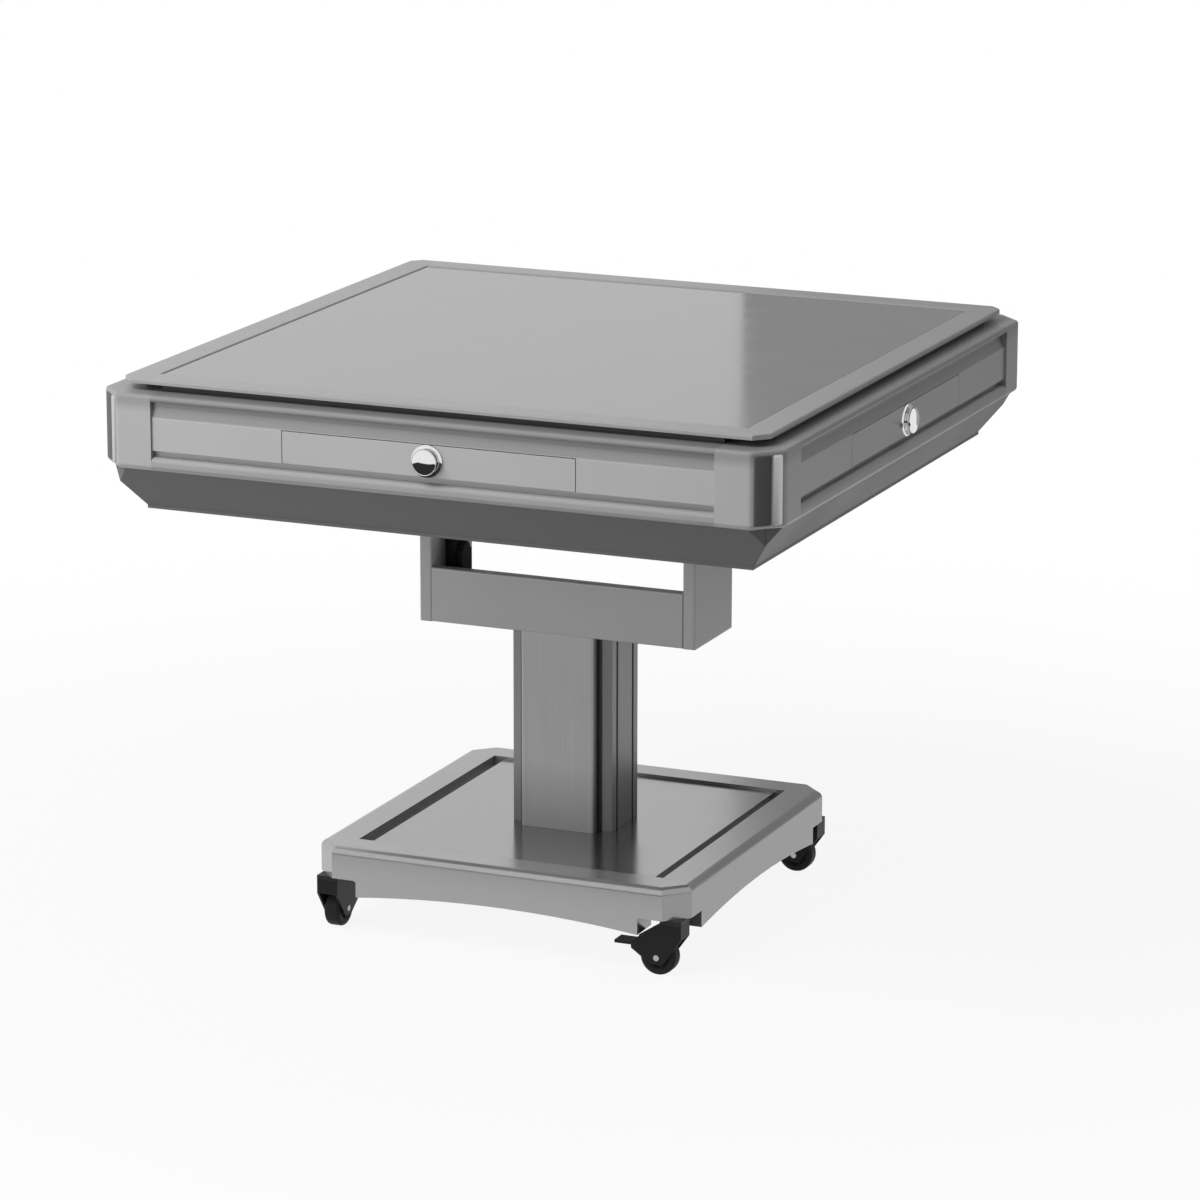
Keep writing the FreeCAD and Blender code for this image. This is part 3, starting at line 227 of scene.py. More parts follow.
class KnobSizes(bpy.types.PropertyGroup):
    """Shape of the turned drawer knobs, as shares of the space that they fill."""
    neck: share("Neck", "Neck radius to rose radius", 0.40)
    head: share("Head", "Head radius to rose radius", 0.78)
    rose_depth: share("Rose depth", "Depth of the rose to knob depth", 0.20)
    rose_round: share("Rose rounding", "Rounding of the rose to its depth", 0.70)
    neck_round: share("Neck rounding", "Rounding at the neck's ends to its length", 0.45)
    head_depth: share("Head depth", "Head depth to knob depth", 0.58)
    head_round: share("Head rounding", "Rounding behind the head to the height of its side", 0.80)
    crown: share("Crown", "Height of the domed face to head depth", 0.62)
    steps: IntProperty(name="Steps", description="Facets round a knob", default=72, min=24, max=256)


class CornerSizes(bpy.types.PropertyGroup):
    """Strips on the four cut corners of the machine body: a dark one of painted shade and a bright one of
    painted highlight.
    """
    cut: length("Corner cut", "How far the corner is cut back along each side", 0.034)
    # Painted shade: the dark strip stands for the shade on the rounded corner.
    shade_inlay_width: length("Inlay width", "Width of the dark inlay", 0.024)
    shade_inlay_place: length("Inlay place", "Inlay's middle from the middle of the corner", 0.0085)
    shade_inlay_height: length("Inlay crown", "How far the inlay stands proud", 0.0012)
    # Painted highlight: the bright strip stands for the highlight on the rounded corner.
    highlight_bead_width: length("Bead width", "Width of the bright bead", 0.013)
    highlight_bead_place: length("Bead place", "Bead's middle from the middle of the corner", 0.0120)
    highlight_bead_height: length("Bead crown", "How far the bead stands proud", 0.0026)
    margin: length("Margin", "Bare corner above and below the strips", 0.0055)
    end_round: length("End rounding", "Length over which a strip's ends are rounded", 0.003)


class WheelSizes(bpy.types.PropertyGroup):
    """Shape of the caster wheels, as shares of the wheel's own size."""
    hub: share("Hub", "Hub radius to wheel radius", 0.66)
    hub_gap: share("Hub gap", "Gap between hub and tread to wheel radius", 0.02)
    hub_face: share("Hub face", "Hub's half width to half the wheel's width", 0.97)
    bore: FloatProperty(name="Bore", description="Bore radius to axle radius", default=1.02, min=1.0)
    dish: share("Dish", "Depth of the hub's dish to half the wheel's width", 0.34)
    lip: share("Lip", "Width of the hub's lip to wheel radius", 0.05)
    lip_slope: share("Lip slope", "Slope inside the lip to the lip's width", 0.60)
    boss: share("Boss", "Radius of the middle boss to wheel radius", 0.30)
    boss_slope: share("Boss slope", "Slope round the boss to the lip's width", 0.50)
    shoulder: share("Shoulder", "Rounding of the tread to half the wheel's width", 0.42)
    ribs: IntProperty(name="Ribs", description="Ribs on each hub face", default=6, min=3, max=12)
    rib_width: share("Rib width", "Width of a rib to wheel radius", 0.12)
    rib_height: share("Rib height", "Rib's faces to those of the dish and the wheel", 0.90)
    rib_start: share("Rib start", "Where a rib starts to the boss's radius", 0.98)
    rib_gap: share("Rib gap", "Gap between a rib's end and the tread to wheel radius", 0.06)
    rib_round: share("Rib rounding", "Rounding of a rib to half its width", 0.30)
    steps: IntProperty(name="Steps", description="Facets round a wheel", default=72, min=24, max=256)


class StageSizes(bpy.types.PropertyGroup):
    """Camera, lamps and floor."""
    azimuth: FloatProperty(name="Azimuth", description="Camera turn from straight ahead",
                           default=math.radians(23.433), subtype="ANGLE")
    elevation: FloatProperty(name="Elevation", description="Camera height above level",
                             default=math.radians(14.536), subtype="ANGLE")
    distance: length("Distance", "Camera to the point it turns about", 7.161)
    pivot_height: length("Pivot height", "Height of the point the camera turns about", 0.4)
    lens: FloatProperty(name="Lens", description="Focal length of the camera", default=158.3, unit="CAMERA")
    shift_x: FloatProperty(name="Shift across", description="Sideways lens shift", default=0.0203)
    shift_y: FloatProperty(name="Shift up", description="Upward lens shift", default=0.0149)
    key_power: FloatProperty(name="Key", description="Power of the key lamp", default=165.0, unit="POWER")
    front_power: FloatProperty(name="Front", description="Power of the low front lamp",
                               default=66.0, unit="POWER")
    rear_power: FloatProperty(name="Rear", description="Power of the rear lamp", default=34.0, unit="POWER")
    lamp_size: length("Lamp size", "Width of the lamps", 2.4)
    ambient: share("Ambient", "Even light from all round", 0.21)
    floor_tone: share("Floor tone", "Paleness of the floor where it throws light back", 0.60)
    floor_white: share("Floor white", "How far the floor is drawn towards white", 0.90)
    floor_radius: length("Floor radius", "Where the floor has faded into the backdrop", 2.2)
    card_tone: share("Card tone", "Grey of the card mirrored in the board", 0.38)
    flag_tone: share("Flag tone", "Grey of the flag mirrored in the knobs", 0.03)


# Node helpers
def full(tint):
    """A colour with its alpha."""
    return (*tint, 1.0)


def grey(tone):
    """A grey colour with its alpha."""
    return full((tone, tone, tone))


def math_node(tree, operation, first, second=None, clamp=False):
    """A math node whose inputs are sockets or plain numbers; gives its result."""
    node = tree.nodes.new("ShaderNodeMath")
    node.operation = operation
    node.use_clamp = clamp
    for socket, source in zip(node.inputs, (first, second)):
        if isinstance(source, bpy.types.NodeSocket):
            tree.links.new(source, socket)
        elif source is not None:
            socket.default_value = source
    return node.outputs["Value"]


def noise(tree, vector, scale, detail):
    """Cloudy noise over a vector; gives its value."""
    node = tree.nodes.new("ShaderNodeTexNoise")
    node.inputs["Detail"].default_value = detail
    tree.links.new(vector, node.inputs["Vector"])
    if isinstance(scale, bpy.types.NodeSocket):
        tree.links.new(scale, node.inputs["Scale"])
    else:
        node.inputs["Scale"].default_value = scale
    return node.outputs["Fac"]


def mix_colour(tree, blend, factor, first, second):
    """A colour mix whose inputs are sockets or plain values; gives its result."""
    node = tree.nodes.new("ShaderNodeMix")
    node.data_type = "RGBA"
    node.blend_type = blend
    for title, source in (("Factor_Float", factor), ("A_Color", first), ("B_Color", second)):
        socket = next(item for item in node.inputs if item.identifier == title)
        if isinstance(source, bpy.types.NodeSocket):
            tree.links.new(source, socket)
        else:
            socket.default_value = source
    return next(item for item in node.outputs if item.identifier == "Result_Color")


def mix_shaders(tree, factor, first, second):
    """A mix of two shaders; gives its result."""
    node = tree.nodes.new("ShaderNodeMixShader")
    for socket, source in zip(node.inputs, (factor, first, second)):
        tree.links.new(source, socket)
    return node.outputs["Shader"]


def smooth_step(tree, value, start, end):
    """Runs smoothly from nothing to one while a value goes from start to end."""
    fade = tree.nodes.new("ShaderNodeMapRange")
    fade.interpolation_type = "SMOOTHSTEP"
    fade.inputs["From Min"].default_value = start
    fade.inputs["From Max"].default_value = end
    tree.links.new(value, fade.inputs["Value"])
    return fade.outputs["Result"]


def object_place(tree):
    """Places on the piece itself, in metres."""
    return tree.nodes.new("ShaderNodeTexCoord").outputs["Object"]


def object_height(tree):
    """Heights on the piece itself, in metres."""
    split = tree.nodes.new("ShaderNodeSeparateXYZ")
    tree.links.new(object_place(tree), split.inputs["Vector"])
    return split.outputs["Z"]


def about_middle(tree, value, strength, middle=NOISE_MIDDLE):
    """How far a value lies from its middle, times a strength."""
    return math_node(tree, "MULTIPLY", math_node(tree, "SUBTRACT", value, middle), strength)


def toned(tree, tint, tone):
    """A colour times a tone."""
    even = tree.nodes.new("ShaderNodeCombineColor")
    for socket in even.inputs:
        tree.links.new(tone, socket)
    return mix_colour(tree, "MULTIPLY", 1.0, tint, even.outputs["Color"])


# Shader node groups shared by the finishes
def new_group(name, inputs, outputs):
    """An empty shader group with the named inputs and outputs."""
    group = bpy.data.node_groups.new(name, "ShaderNodeTree")
    for title, kind, value in inputs:
        socket = group.interface.new_socket(title, in_out="INPUT", socket_type=kind)
        socket.default_value = value
    for title, kind in outputs:
        group.interface.new_socket(title, in_out="OUTPUT", socket_type=kind)
    return group, group.nodes.new("NodeGroupInput"), group.nodes.new("NodeGroupOutput")


def satin_group():
    """Fine flake and faint clouding of a satin paint."""
    group, given, made = new_group(
        "satin_flake",
        [("Colour", "NodeSocketColor", (0.4, 0.4, 0.4, 1.0)), ("Flake", "NodeSocketFloat", 0.2),
         ("Clouding", "NodeSocketFloat", 0.1), ("Roughness", "NodeSocketFloat", 0.4),
         ("Flake Scale", "NodeSocketFloat", 1400.0)],
        [("Colour", "NodeSocketColor"), ("Roughness", "NodeSocketFloat"), ("Height", "NodeSocketFloat")])
    place = object_place(group)
    fine = noise(group, place, given.outputs["Flake Scale"], detail=2.0)
    broad = noise(group, place, CLOUD_SCALE, detail=4.0)
    fine_step = about_middle(group, fine, given.outputs["Flake"])
    broad_step = about_middle(group, broad, given.outputs["Clouding"])
    tone = math_node(group, "ADD", math_node(group, "ADD", fine_step, broad_step), 1.0)
    group.links.new(toned(group, given.outputs["Colour"], tone), made.inputs["Colour"])
    rough = math_node(group, "ADD", given.outputs["Roughness"], broad_step)
    group.links.new(math_node(group, "ADD", rough, fine_step, clamp=True), made.inputs["Roughness"])
    group.links.new(fine, made.inputs["Height"])
    return group


def edge_group():
    """Rubbed edges: a mask where faces meet, and the softened normal there."""
    group, given, made = new_group(
        "rubbed_edge",
        [("Width", "NodeSocketFloat", 0.0015)],
        [("Wear", "NodeSocketFloat"), ("Normal", "NodeSocketVector")])
    bevel = group.nodes.new("ShaderNodeBevel")
    bevel.samples = EDGE_SAMPLES
    group.links.new(given.outputs["Width"], bevel.inputs["Radius"])
    facing = group.nodes.new("ShaderNodeVectorMath")
    facing.operation = "DOT_PRODUCT"
    group.links.new(bevel.outputs["Normal"], facing.inputs[0])
    group.links.new(group.nodes.new("ShaderNodeNewGeometry").outputs["Normal"], facing.inputs[1])
    turn = math_node(group, "SUBTRACT", 1.0, facing.outputs["Value"])
    broken = noise(group, object_place(group), WEAR_SCALE, detail=5.0)
    rubbed = math_node(group, "MULTIPLY", turn, WEAR_GAIN, clamp=True)
    group.links.new(math_node(group, "MULTIPLY", rubbed, broken, clamp=True), made.inputs["Wear"])
    group.links.new(bevel.outputs["Normal"], made.inputs["Normal"])
    return group


def dust_group():
    """Dust that lies on faces that look up at rest."""
    group, given, made = new_group(
        "settled_dust",
        [("Amount", "NodeSocketFloat", 0.1)],
        [("Dust", "NodeSocketFloat")])
    coordinates = group.nodes.new("ShaderNodeTexCoord")
    split = group.nodes.new("ShaderNodeSeparateXYZ")
    group.links.new(coordinates.outputs["Normal"], split.inputs["Vector"])
    level = math_node(group, "POWER", math_node(group, "MAXIMUM", split.outputs["Z"], 0.0), DUST_FALL)
    cloud = noise(group, coordinates.outputs["Object"], DUST_SCALE, detail=6.0)
    lying = math_node(group, "MULTIPLY", level, cloud)
    shown = math_node(group, "MULTIPLY", lying, given.outputs["Amount"], clamp=True)
    group.links.new(shown, made.inputs["Dust"])
    return group


def drawn_group():
    """Fine lines along the height of a drawn metal section."""
    group, given, made = new_group(
        "drawn_lines",
        [("Colour", "NodeSocketColor", (0.4, 0.4, 0.4, 1.0)), ("Lines", "NodeSocketFloat", 0.2),
         ("Roughness", "NodeSocketFloat", 0.35), ("Stretch", "NodeSocketVector", (900.0, 900.0, 6.0))],
        [("Colour", "NodeSocketColor"), ("Roughness", "NodeSocketFloat"), ("Height", "NodeSocketFloat")])
    stretched = group.nodes.new("ShaderNodeVectorMath")
    stretched.operation = "MULTIPLY"
    group.links.new(object_place(group), stretched.inputs[0])
    group.links.new(given.outputs["Stretch"], stretched.inputs[1])
    line = noise(group, stretched.outputs["Vector"], 1.0, detail=3.0)
    step = about_middle(group, line, given.outputs["Lines"])
    tone = math_node(group, "ADD", step, 1.0)
    group.links.new(toned(group, given.outputs["Colour"], tone), made.inputs["Colour"])
    rough = math_node(group, "ADD", given.outputs["Roughness"], step, clamp=True)
    group.links.new(rough, made.inputs["Roughness"])
    group.links.new(line, made.inputs["Height"])
    return group


def weave_group():
    """Crossed threads of a short cloth."""
    group, given, made = new_group(
        "cloth_weave",
        [("Colour", "NodeSocketColor", (0.03, 0.1, 0.07, 1.0)), ("Threads", "NodeSocketFloat", 1500.0),
         ("Depth", "NodeSocketFloat", 0.4)],
        [("Colour", "NodeSocketColor"), ("Height", "NodeSocketFloat")])
    place = object_place(group)
    heights = []
    for direction in ("X", "Y"):
        wave = group.nodes.new("ShaderNodeTexWave")
        wave.bands_direction = direction
        wave.inputs["Distortion"].default_value = WEAVE_SWAY
        group.links.new(place, wave.inputs["Vector"])
        group.links.new(given.outputs["Threads"], wave.inputs["Scale"])
        heights.append(wave.outputs["Fac"])
    crossed = math_node(group, "MULTIPLY", *heights)
    fuzz = math_node(group, "MULTIPLY", noise(group, place, FUZZ_SCALE, detail=6.0), FUZZ_SHARE)
    step = about_middle(group, crossed, given.outputs["Depth"], WEAVE_MIDDLE)
    tone = math_node(group, "ADD", math_node(group, "ADD", step, WEAVE_TONE), fuzz)
    group.links.new(toned(group, given.outputs["Colour"], tone), made.inputs["Colour"])
    group.links.new(crossed, made.inputs["Height"])
    return group


GROUP_MAKERS = {"satin_flake": satin_group, "rubbed_edge": edge_group, "settled_dust": dust_group,
                "drawn_lines": drawn_group, "cloth_weave": weave_group}


def placed_group(material, name, **values):
    """One use of a shared group in a material, with its own values."""
    tree = bpy.data.node_groups.get(name) or GROUP_MAKERS[name]()
    node = material.node_tree.nodes.new("ShaderNodeGroup")
    node.node_tree = tree
    for title, value in values.items():
        node.inputs[title.replace("_", " ")].default_value = value
    return node


# Materials
def new_material(name, tint, metallic, **shader_values):
    """A material with one shader; plain values go on the shader's own sockets."""
    material = bpy.data.materials.new(name)
    material.use_nodes = True
    shader = material.node_tree.nodes["Principled BSDF"]
    shader.inputs["Metallic"].default_value = metallic
    for title, value in shader_values.items():
        shader.inputs[title.replace("_", " ")].default_value = value
    material.diffuse_color = full(tint)
    return material, shader


def stage_material(name):
    """A material for the stage, with nothing but its output."""
    material = bpy.data.materials.new(name)
    material.use_nodes = True
    tree = material.node_tree
    tree.nodes.clear()
    return material, tree, tree.nodes.new("ShaderNodeOutputMaterial").inputs["Surface"]


def add_bump(material, shader, height, depth, normal):
    """A bump of the given depth over a softened normal."""
    tree = material.node_tree
    bump = tree.nodes.new("ShaderNodeBump")
    bump.inputs["Distance"].default_value = depth
    tree.links.new(height, bump.inputs["Height"])
    tree.links.new(normal, bump.inputs["Normal"])
    tree.links.new(bump.outputs["Normal"], shader.inputs["Normal"])


def painted_shade_below(tree, tint, groove_shade, level):
    """The finish's colour, with a dark colour of painted shade below a level of the piece."""
    mask = math_node(tree, "LESS_THAN", object_height(tree), level)
    return mix_colour(tree, "MIX", mask, tint, full(groove_shade))


def painted_shade_past(tree, tint, start, end, tone):
    """The finish's colour, darkened with painted shade from one level of the piece to another and on past it.
    """
    return mix_colour(tree, "MULTIPLY", smooth_step(tree, object_height(tree), start, end), tint, grey(tone))


def worn_and_shaded_finish(name, tint, grain, metallic=0.0, bump=FINE_BUMP, groove_shade=None, shade_tones=(), **shader_values):
    """A coated finish: grain, rubbed edges and settled dust on one shader, with painted shade below a level
    and past given heights where asked.
    """
    finishes = bpy.context.scene.table_finishes
    material, shader = new_material(name, tint, metallic, **shader_values)
    tree = material.node_tree
    group, values = GRAINS[grain]
    base = placed_group(material, group, Colour=full(tint), **values)
    edge = placed_group(material, "rubbed_edge", Width=finishes.edge_width)
    dust = placed_group(material, "settled_dust", Amount=finishes.dust)
    pale = full([min(1.0, part * PALE_GAIN + PALE_LIFT) for part in tint])
    wear = math_node(tree, "MULTIPLY", edge.outputs["Wear"], finishes.edge_wear)
    worn = mix_colour(tree, "MIX", wear, base.outputs["Colour"], pale)
    shown = mix_colour(tree, "MIX", dust.outputs["Dust"], worn, full(finishes.dust_tint))
    # Painted shade: a dark colour below a level of the piece.
    if groove_shade is not None:
        shown = painted_shade_below(tree, shown, *groove_shade)
    # Painted shade: darker bands past given heights of the piece.
    for start, end, tone in shade_tones:
        shown = painted_shade_past(tree, shown, start, end, tone)
    tree.links.new(shown, shader.inputs["Base Color"])
    if "Roughness" in base.outputs:
        rough = math_node(tree, "ADD", base.outputs["Roughness"], dust.outputs["Dust"], clamp=True)
        tree.links.new(rough, shader.inputs["Roughness"])
    add_bump(material, shader, base.outputs["Height"], bump, edge.outputs["Normal"])
    return material


def give(material, *names):
    """Puts a material on all faces of the named pieces of the frame."""
    for name in names:
        node = frame["nodes"][name]
        if not node.material_slots:
            node.data.materials.append(material)
        for slot in node.material_slots:
            slot.material = material


# Mesh helpers
def mesh_object(name, shape, material):
    """An object from a bmesh, smooth except at its sharp edges."""
    mesh = bpy.data.meshes.new(name)
    bmesh.ops.recalc_face_normals(shape, faces=shape.faces)
    for face in shape.faces:
        face.smooth = True
    for edge in shape.edges:
        if len(edge.link_faces) == 2 and edge.calc_face_angle() > SMOOTH_ANGLE:
            edge.smooth = False
    shape.to_mesh(mesh)
    shape.free()
    piece = bpy.data.objects.new(name, mesh)
    bpy.context.scene.collection.objects.link(piece)
    mesh.materials.append(material)
    return piece


def arc(centre, radius, start, end, steps):
    """Points of an arc in a profile, angles in degrees."""
    turns = [math.radians(start + (end - start) * step / steps) for step in range(steps + 1)]
    return [(centre[0] + radius * math.cos(turn), centre[1] + radius * math.sin(turn)) for turn in turns]


def turned_shape(shape, profile, steps, placing):
    """Adds a turned form: the profile's points are (radius, place along the axis)."""
    turns = [math.tau * step / steps for step in range(steps)]
    rings = []
    for radius, along in profile:
        if radius < ON_AXIS:
            places = [Vector((0, 0, along))]
        else:
            places = [Vector((radius * math.cos(turn), radius * math.sin(turn), along)) for turn in turns]
        rings.append([shape.verts.new(placing @ place) for place in places])
    for low, high in zip(rings, rings[1:]):
        for step in range(steps):
            after = (step + 1) % steps
            corners = [low[step % len(low)], low[after % len(low)],
                       high[after % len(high)], high[step % len(high)]]
            corners = list(dict.fromkeys(corners))
            if len(corners) > 2:
                shape.faces.new(corners)


def block_shape(shape, low, high, placing, rounding):
    """Adds a block with rounded edges."""
    made = bmesh.ops.create_cube(shape, size=1.0)
    middle = (Vector(low) + Vector(high)) / 2
    extent = Vector(high) - Vector(low)
    for vert in made["verts"]:
        vert.co = Vector(part * reach for part, reach in zip(vert.co, extent)) + middle
    edges = {edge for vert in made["verts"] for edge in vert.link_edges}
    rounded = bmesh.ops.bevel(shape, geom=list(edges), offset=rounding, segments=RIB_STEPS,
                              profile=0.5, affect="EDGES")
    moved = {vert for face in rounded["faces"] for vert in face.verts}
    moved |= {vert for vert in made["verts"] if vert.is_valid}
    for vert in moved:
        vert.co = placing @ vert.co


def crowned_strip(shape, width, height, reach, end, placing):
    """Adds a strip along the second axis with a crowned face and rounded ends."""
    rise = arc((0, 0), 1.0, STRIP_END_START, 90, STRIP_END_STEPS)
    stations = [(end * (1 - along) - reach / 2, up) for along, up in rise]
    stations += [(-place, up) for place, up in reversed(stations)]
    section = arc((0, 0), 1.0, 0, 180, STRIP_STEPS)
    rings = []
    for place, scale in stations:
        half = width / 2 - end * (1 - scale)
        rings.append([shape.verts.new(placing @ Vector((half * along, place, height * up * scale)))
                      for along, up in section])
    for low, high in zip(rings, rings[1:]):
        for step in range(len(low)):
            after = (step + 1) % len(low)
            shape.faces.new((low[step], low[after], high[after], high[step]))
    for ring in (rings[0], rings[-1]):
        shape.faces.new(ring)


def along_axis(origin, direction):
    """A placing whose third axis points along a direction from an origin."""
    turn = Vector((0, 0, 1)).rotation_difference(Vector(direction))
    return Matrix.Translation(origin) @ turn.to_matrix().to_4x4()


# Operators
class TableOperator:
    """What the table's operators have in common."""
    bl_options = {"REGISTER", "UNDO"}

    @classmethod
    def poll(cls, context):
        return context.scene is not None


class MAHJONG_TABLE_OT_dress_shell(TableOperator, bpy.types.Operator):
    """Give the moulded sides, drawers, rim and skirt their paints, with painted shade under the rim, on the
    fascia above and below the drawer band and on the corners' tops
    """
    bl_idname = "mahjong_table.dress_shell"
    bl_label = "Dress Shell"

    def execute(self, context):
        finishes = context.scene.table_finishes
        self.paint_sides(finishes)
        # Painted shade under the rim: the rim's lower part takes the dark colour that stands for the shadow
        # there.
        rail_low, rail_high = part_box("rim_rails")
        groove_shade = (finishes.groove_shade, rail_low.z + (rail_high.z - rail_low.z) * finishes.groove_shade_share)
        rim = worn_and_shaded_finish("silver_rim_satin", finishes.rim, "shell", metallic=0.25, groove_shade=groove_shade)
        give(rim, "rim_rails")
        give(worn_and_shaded_finish("dark_skirt_moulding", finishes.skirt, "skirt"), "skirt_panels")
        give(worn_and_shaded_finish("coated_floor_sheet", finishes.sheet, "sheet", metallic=0.1), "floor_plate")
        return {"FINISHED"}

    def paint_sides(self, finishes):
        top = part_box("fascia_front")[1].z
        band_low, band_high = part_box("drawer_front")
        # Painted shade: the fascia darkens above the drawer band and below it.
        cove = (band_high.z, band_high.z + finishes.cove_shade_fade, finishes.cove_shade_tone)
        lip = (band_low.z, band_low.z - finishes.lip_shade_fade, finishes.lip_shade_tone)
        fascia = worn_and_shaded_finish("silver_fascia_paint", finishes.drawer, "shell", metallic=0.15,
                             shade_tones=(cove, lip))
        give(fascia, *FASCIA_NODES)
        # Painted shade: the corner blocks darken towards their top.
        shaded = (band_high.z + finishes.corner_shade_start, top - finishes.corner_shade_end, finishes.corner_shade_tone)
        corner = worn_and_shaded_finish("silver_corner_paint", finishes.shell, "shell", metallic=0.15, shade_tones=(shaded,))
        give(corner, "corner_blocks")
        give(worn_and_shaded_finish("silver_drawer_paint", finishes.drawer, "shell", metallic=0.15), *DRAWER_NODES)


class MAHJONG_TABLE_OT_dress_top(TableOperator, bpy.types.Operator):
    """Give the board, playing field, console and tile lifts their finishes"""
    bl_idname = "mahjong_table.dress_top"
    bl_label = "Dress Top"

    def execute(self, context):
        finishes = context.scene.table_finishes
        give(worn_and_shaded_finish("gloss_board_laminate", finishes.board, "laminate", bump=0.000002), "cover_board")
        cloth = worn_and_shaded_finish("green_playing_cloth", finishes.cloth, "cloth", bump=0.0002, Roughness=0.9)
        give(cloth, "play_board")
        give(worn_and_shaded_finish("grey_lift_moulding", finishes.sheet, "lift"), *LIFT_NODES)
        give(worn_and_shaded_finish("red_button_cap", finishes.button, "cap"), "start_button")
        return {"FINISHED"}


class MAHJONG_TABLE_OT_dress_stand(TableOperator, bpy.types.Operator):
    """Give the yoke, column and base their finishes, with painted shade on the column's sides and at its foot
    """
    bl_idname = "mahjong_table.dress_stand"
    bl_label = "Dress Stand"

    def execute(self, context):
        finishes = context.scene.table_finishes
        give(worn_and_shaded_finish("silver_frame_paint", finishes.frame, "frame", metallic=0.2), *FRAME_NODES)
        give(worn_and_shaded_finish("silver_base_paint", finishes.base, "base", metallic=0.6), *BASE_NODES)
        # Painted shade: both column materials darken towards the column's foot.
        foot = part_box("column_face_panels")[0].z
        foot_shade = ((foot + finishes.foot_shade_height, foot, finishes.foot_shade_tone),)
        faces = worn_and_shaded_finish("drawn_column_silver", finishes.column, "column", metallic=0.3, shade_tones=foot_shade)
        give(faces, "column_face_panels")
        # Painted shade: the sides take a darker copy of the column's silver, as well as the darkening at the
        # foot.
        sides = worn_and_shaded_finish("drawn_side_silver", finishes.column_side_shaded, "column", metallic=0.3, shade_tones=foot_shade)
        give(sides, "column_side_panels")
        plate = worn_and_shaded_finish("polished_base_plate", finishes.plate, "plate", metallic=0.9, bump=0.00001)
        give(plate, "base_plate")
        give(worn_and_shaded_finish("dark_column_core", finishes.core, "core"), "column_core")
        return {"FINISHED"}


class MAHJONG_TABLE_OT_dress_running_gear(TableOperator, bpy.types.Operator):
    """Give the casters, pins, pads and lever their finishes"""
    bl_idname = "mahjong_table.dress_running_gear"
    bl_label = "Dress Running Gear"

    def execute(self, context):
        finishes = context.scene.table_finishes
        give(worn_and_shaded_finish("plain_steel", finishes.steel, "steel", metallic=1.0), *STEEL_NODES)
        sockets = worn_and_shaded_finish("dark_plated_sockets", finishes.zinc, "socket", metallic=0.3,
                              Specular_IOR_Level=LOW_SHINE)
        give(sockets, "caster_sockets")
        black = worn_and_shaded_finish("black_moulding", finishes.black, "black", bump=0.00006,
                            Specular_IOR_Level=LOW_SHINE)
        give(black, *BLACK_NODES)
        give(worn_and_shaded_finish("matt_black_lock", finishes.tread, "lock", Specular_IOR_Level=0.2), *LOCK_NODES)
        give(worn_and_shaded_finish("black_rubber", finishes.rubber, "rubber", bump=0.00008), *RUBBER_NODES)
        return {"FINISHED"}


class MAHJONG_TABLE_OT_make_knobs(TableOperator, bpy.types.Operator):
    """Turn the four chrome drawer knobs"""
    bl_idname = "mahjong_table.make_knobs"
    bl_label = "Make Knobs"

    def execute(self, context):
        finishes = context.scene.table_finishes
        plating = worn_and_shaded_finish("bright_chrome", finishes.chrome, "chrome", metallic=1.0, bump=0.000003)
        for side in SIDES:
            self.turn_knob(context.scene.knob_sizes, side, plating)
        return {"FINISHED"}

    def turn_knob(self, knob, side, plating):
        low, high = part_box(f"drawer_knob_{side}")
        middle = (low + high) / 2
        outward = Vector((0, 0, 0))
        axis = 1 if side in ("front", "rear") else 0
        outward[axis] = math.copysign(1.0, middle[axis])
        depth = high[axis] - low[axis]
        radius = (high.z - low.z) / 2
        foot = middle - outward * depth / 2
        profile = self.knob_profile(knob, radius, depth)
        shape = bmesh.new()
        turned_shape(shape, profile, knob.steps, along_axis(foot, outward))
        piece = mesh_object(f"drawer_pull_{side}", shape, plating)
        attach(piece, f"drawer_{side}")
        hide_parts(f"drawer_knob_{side}")

    def knob_profile(self, knob, radius, depth):
        rose_top = depth * knob.rose_depth
        rose_round = rose_top * knob.rose_round
        head = radius * knob.head
        neck = radius * knob.neck
        head_low = depth * (1 - knob.head_depth)
        crown = depth * knob.head_depth * knob.crown
        brim = depth - crown
        fillet = (head_low - rose_top) * knob.neck_round
        head_round = (brim - head_low) * knob.head_round
        profile = [(0.0, 0.0), (radius, 0.0)]
        profile += arc((radius - rose_round, rose_top - rose_round), rose_round, 0, 90, ROSE_STEPS)
        profile += arc((neck + fillet, rose_top + fillet), fillet, 270, 180, NECK_STEPS)
        profile += arc((neck + fillet, head_low - fillet), fillet, 180, 90, NECK_STEPS)
        profile += arc((head - head_round, head_low + head_round), head_round, 270, 360, ROSE_STEPS)
        for along, height in arc((0.0, 0.0), 1.0, 0, 90, CROWN_STEPS):
            profile.append((head * along if height < 1.0 else 0.0, brim + crown * height))
        return profile


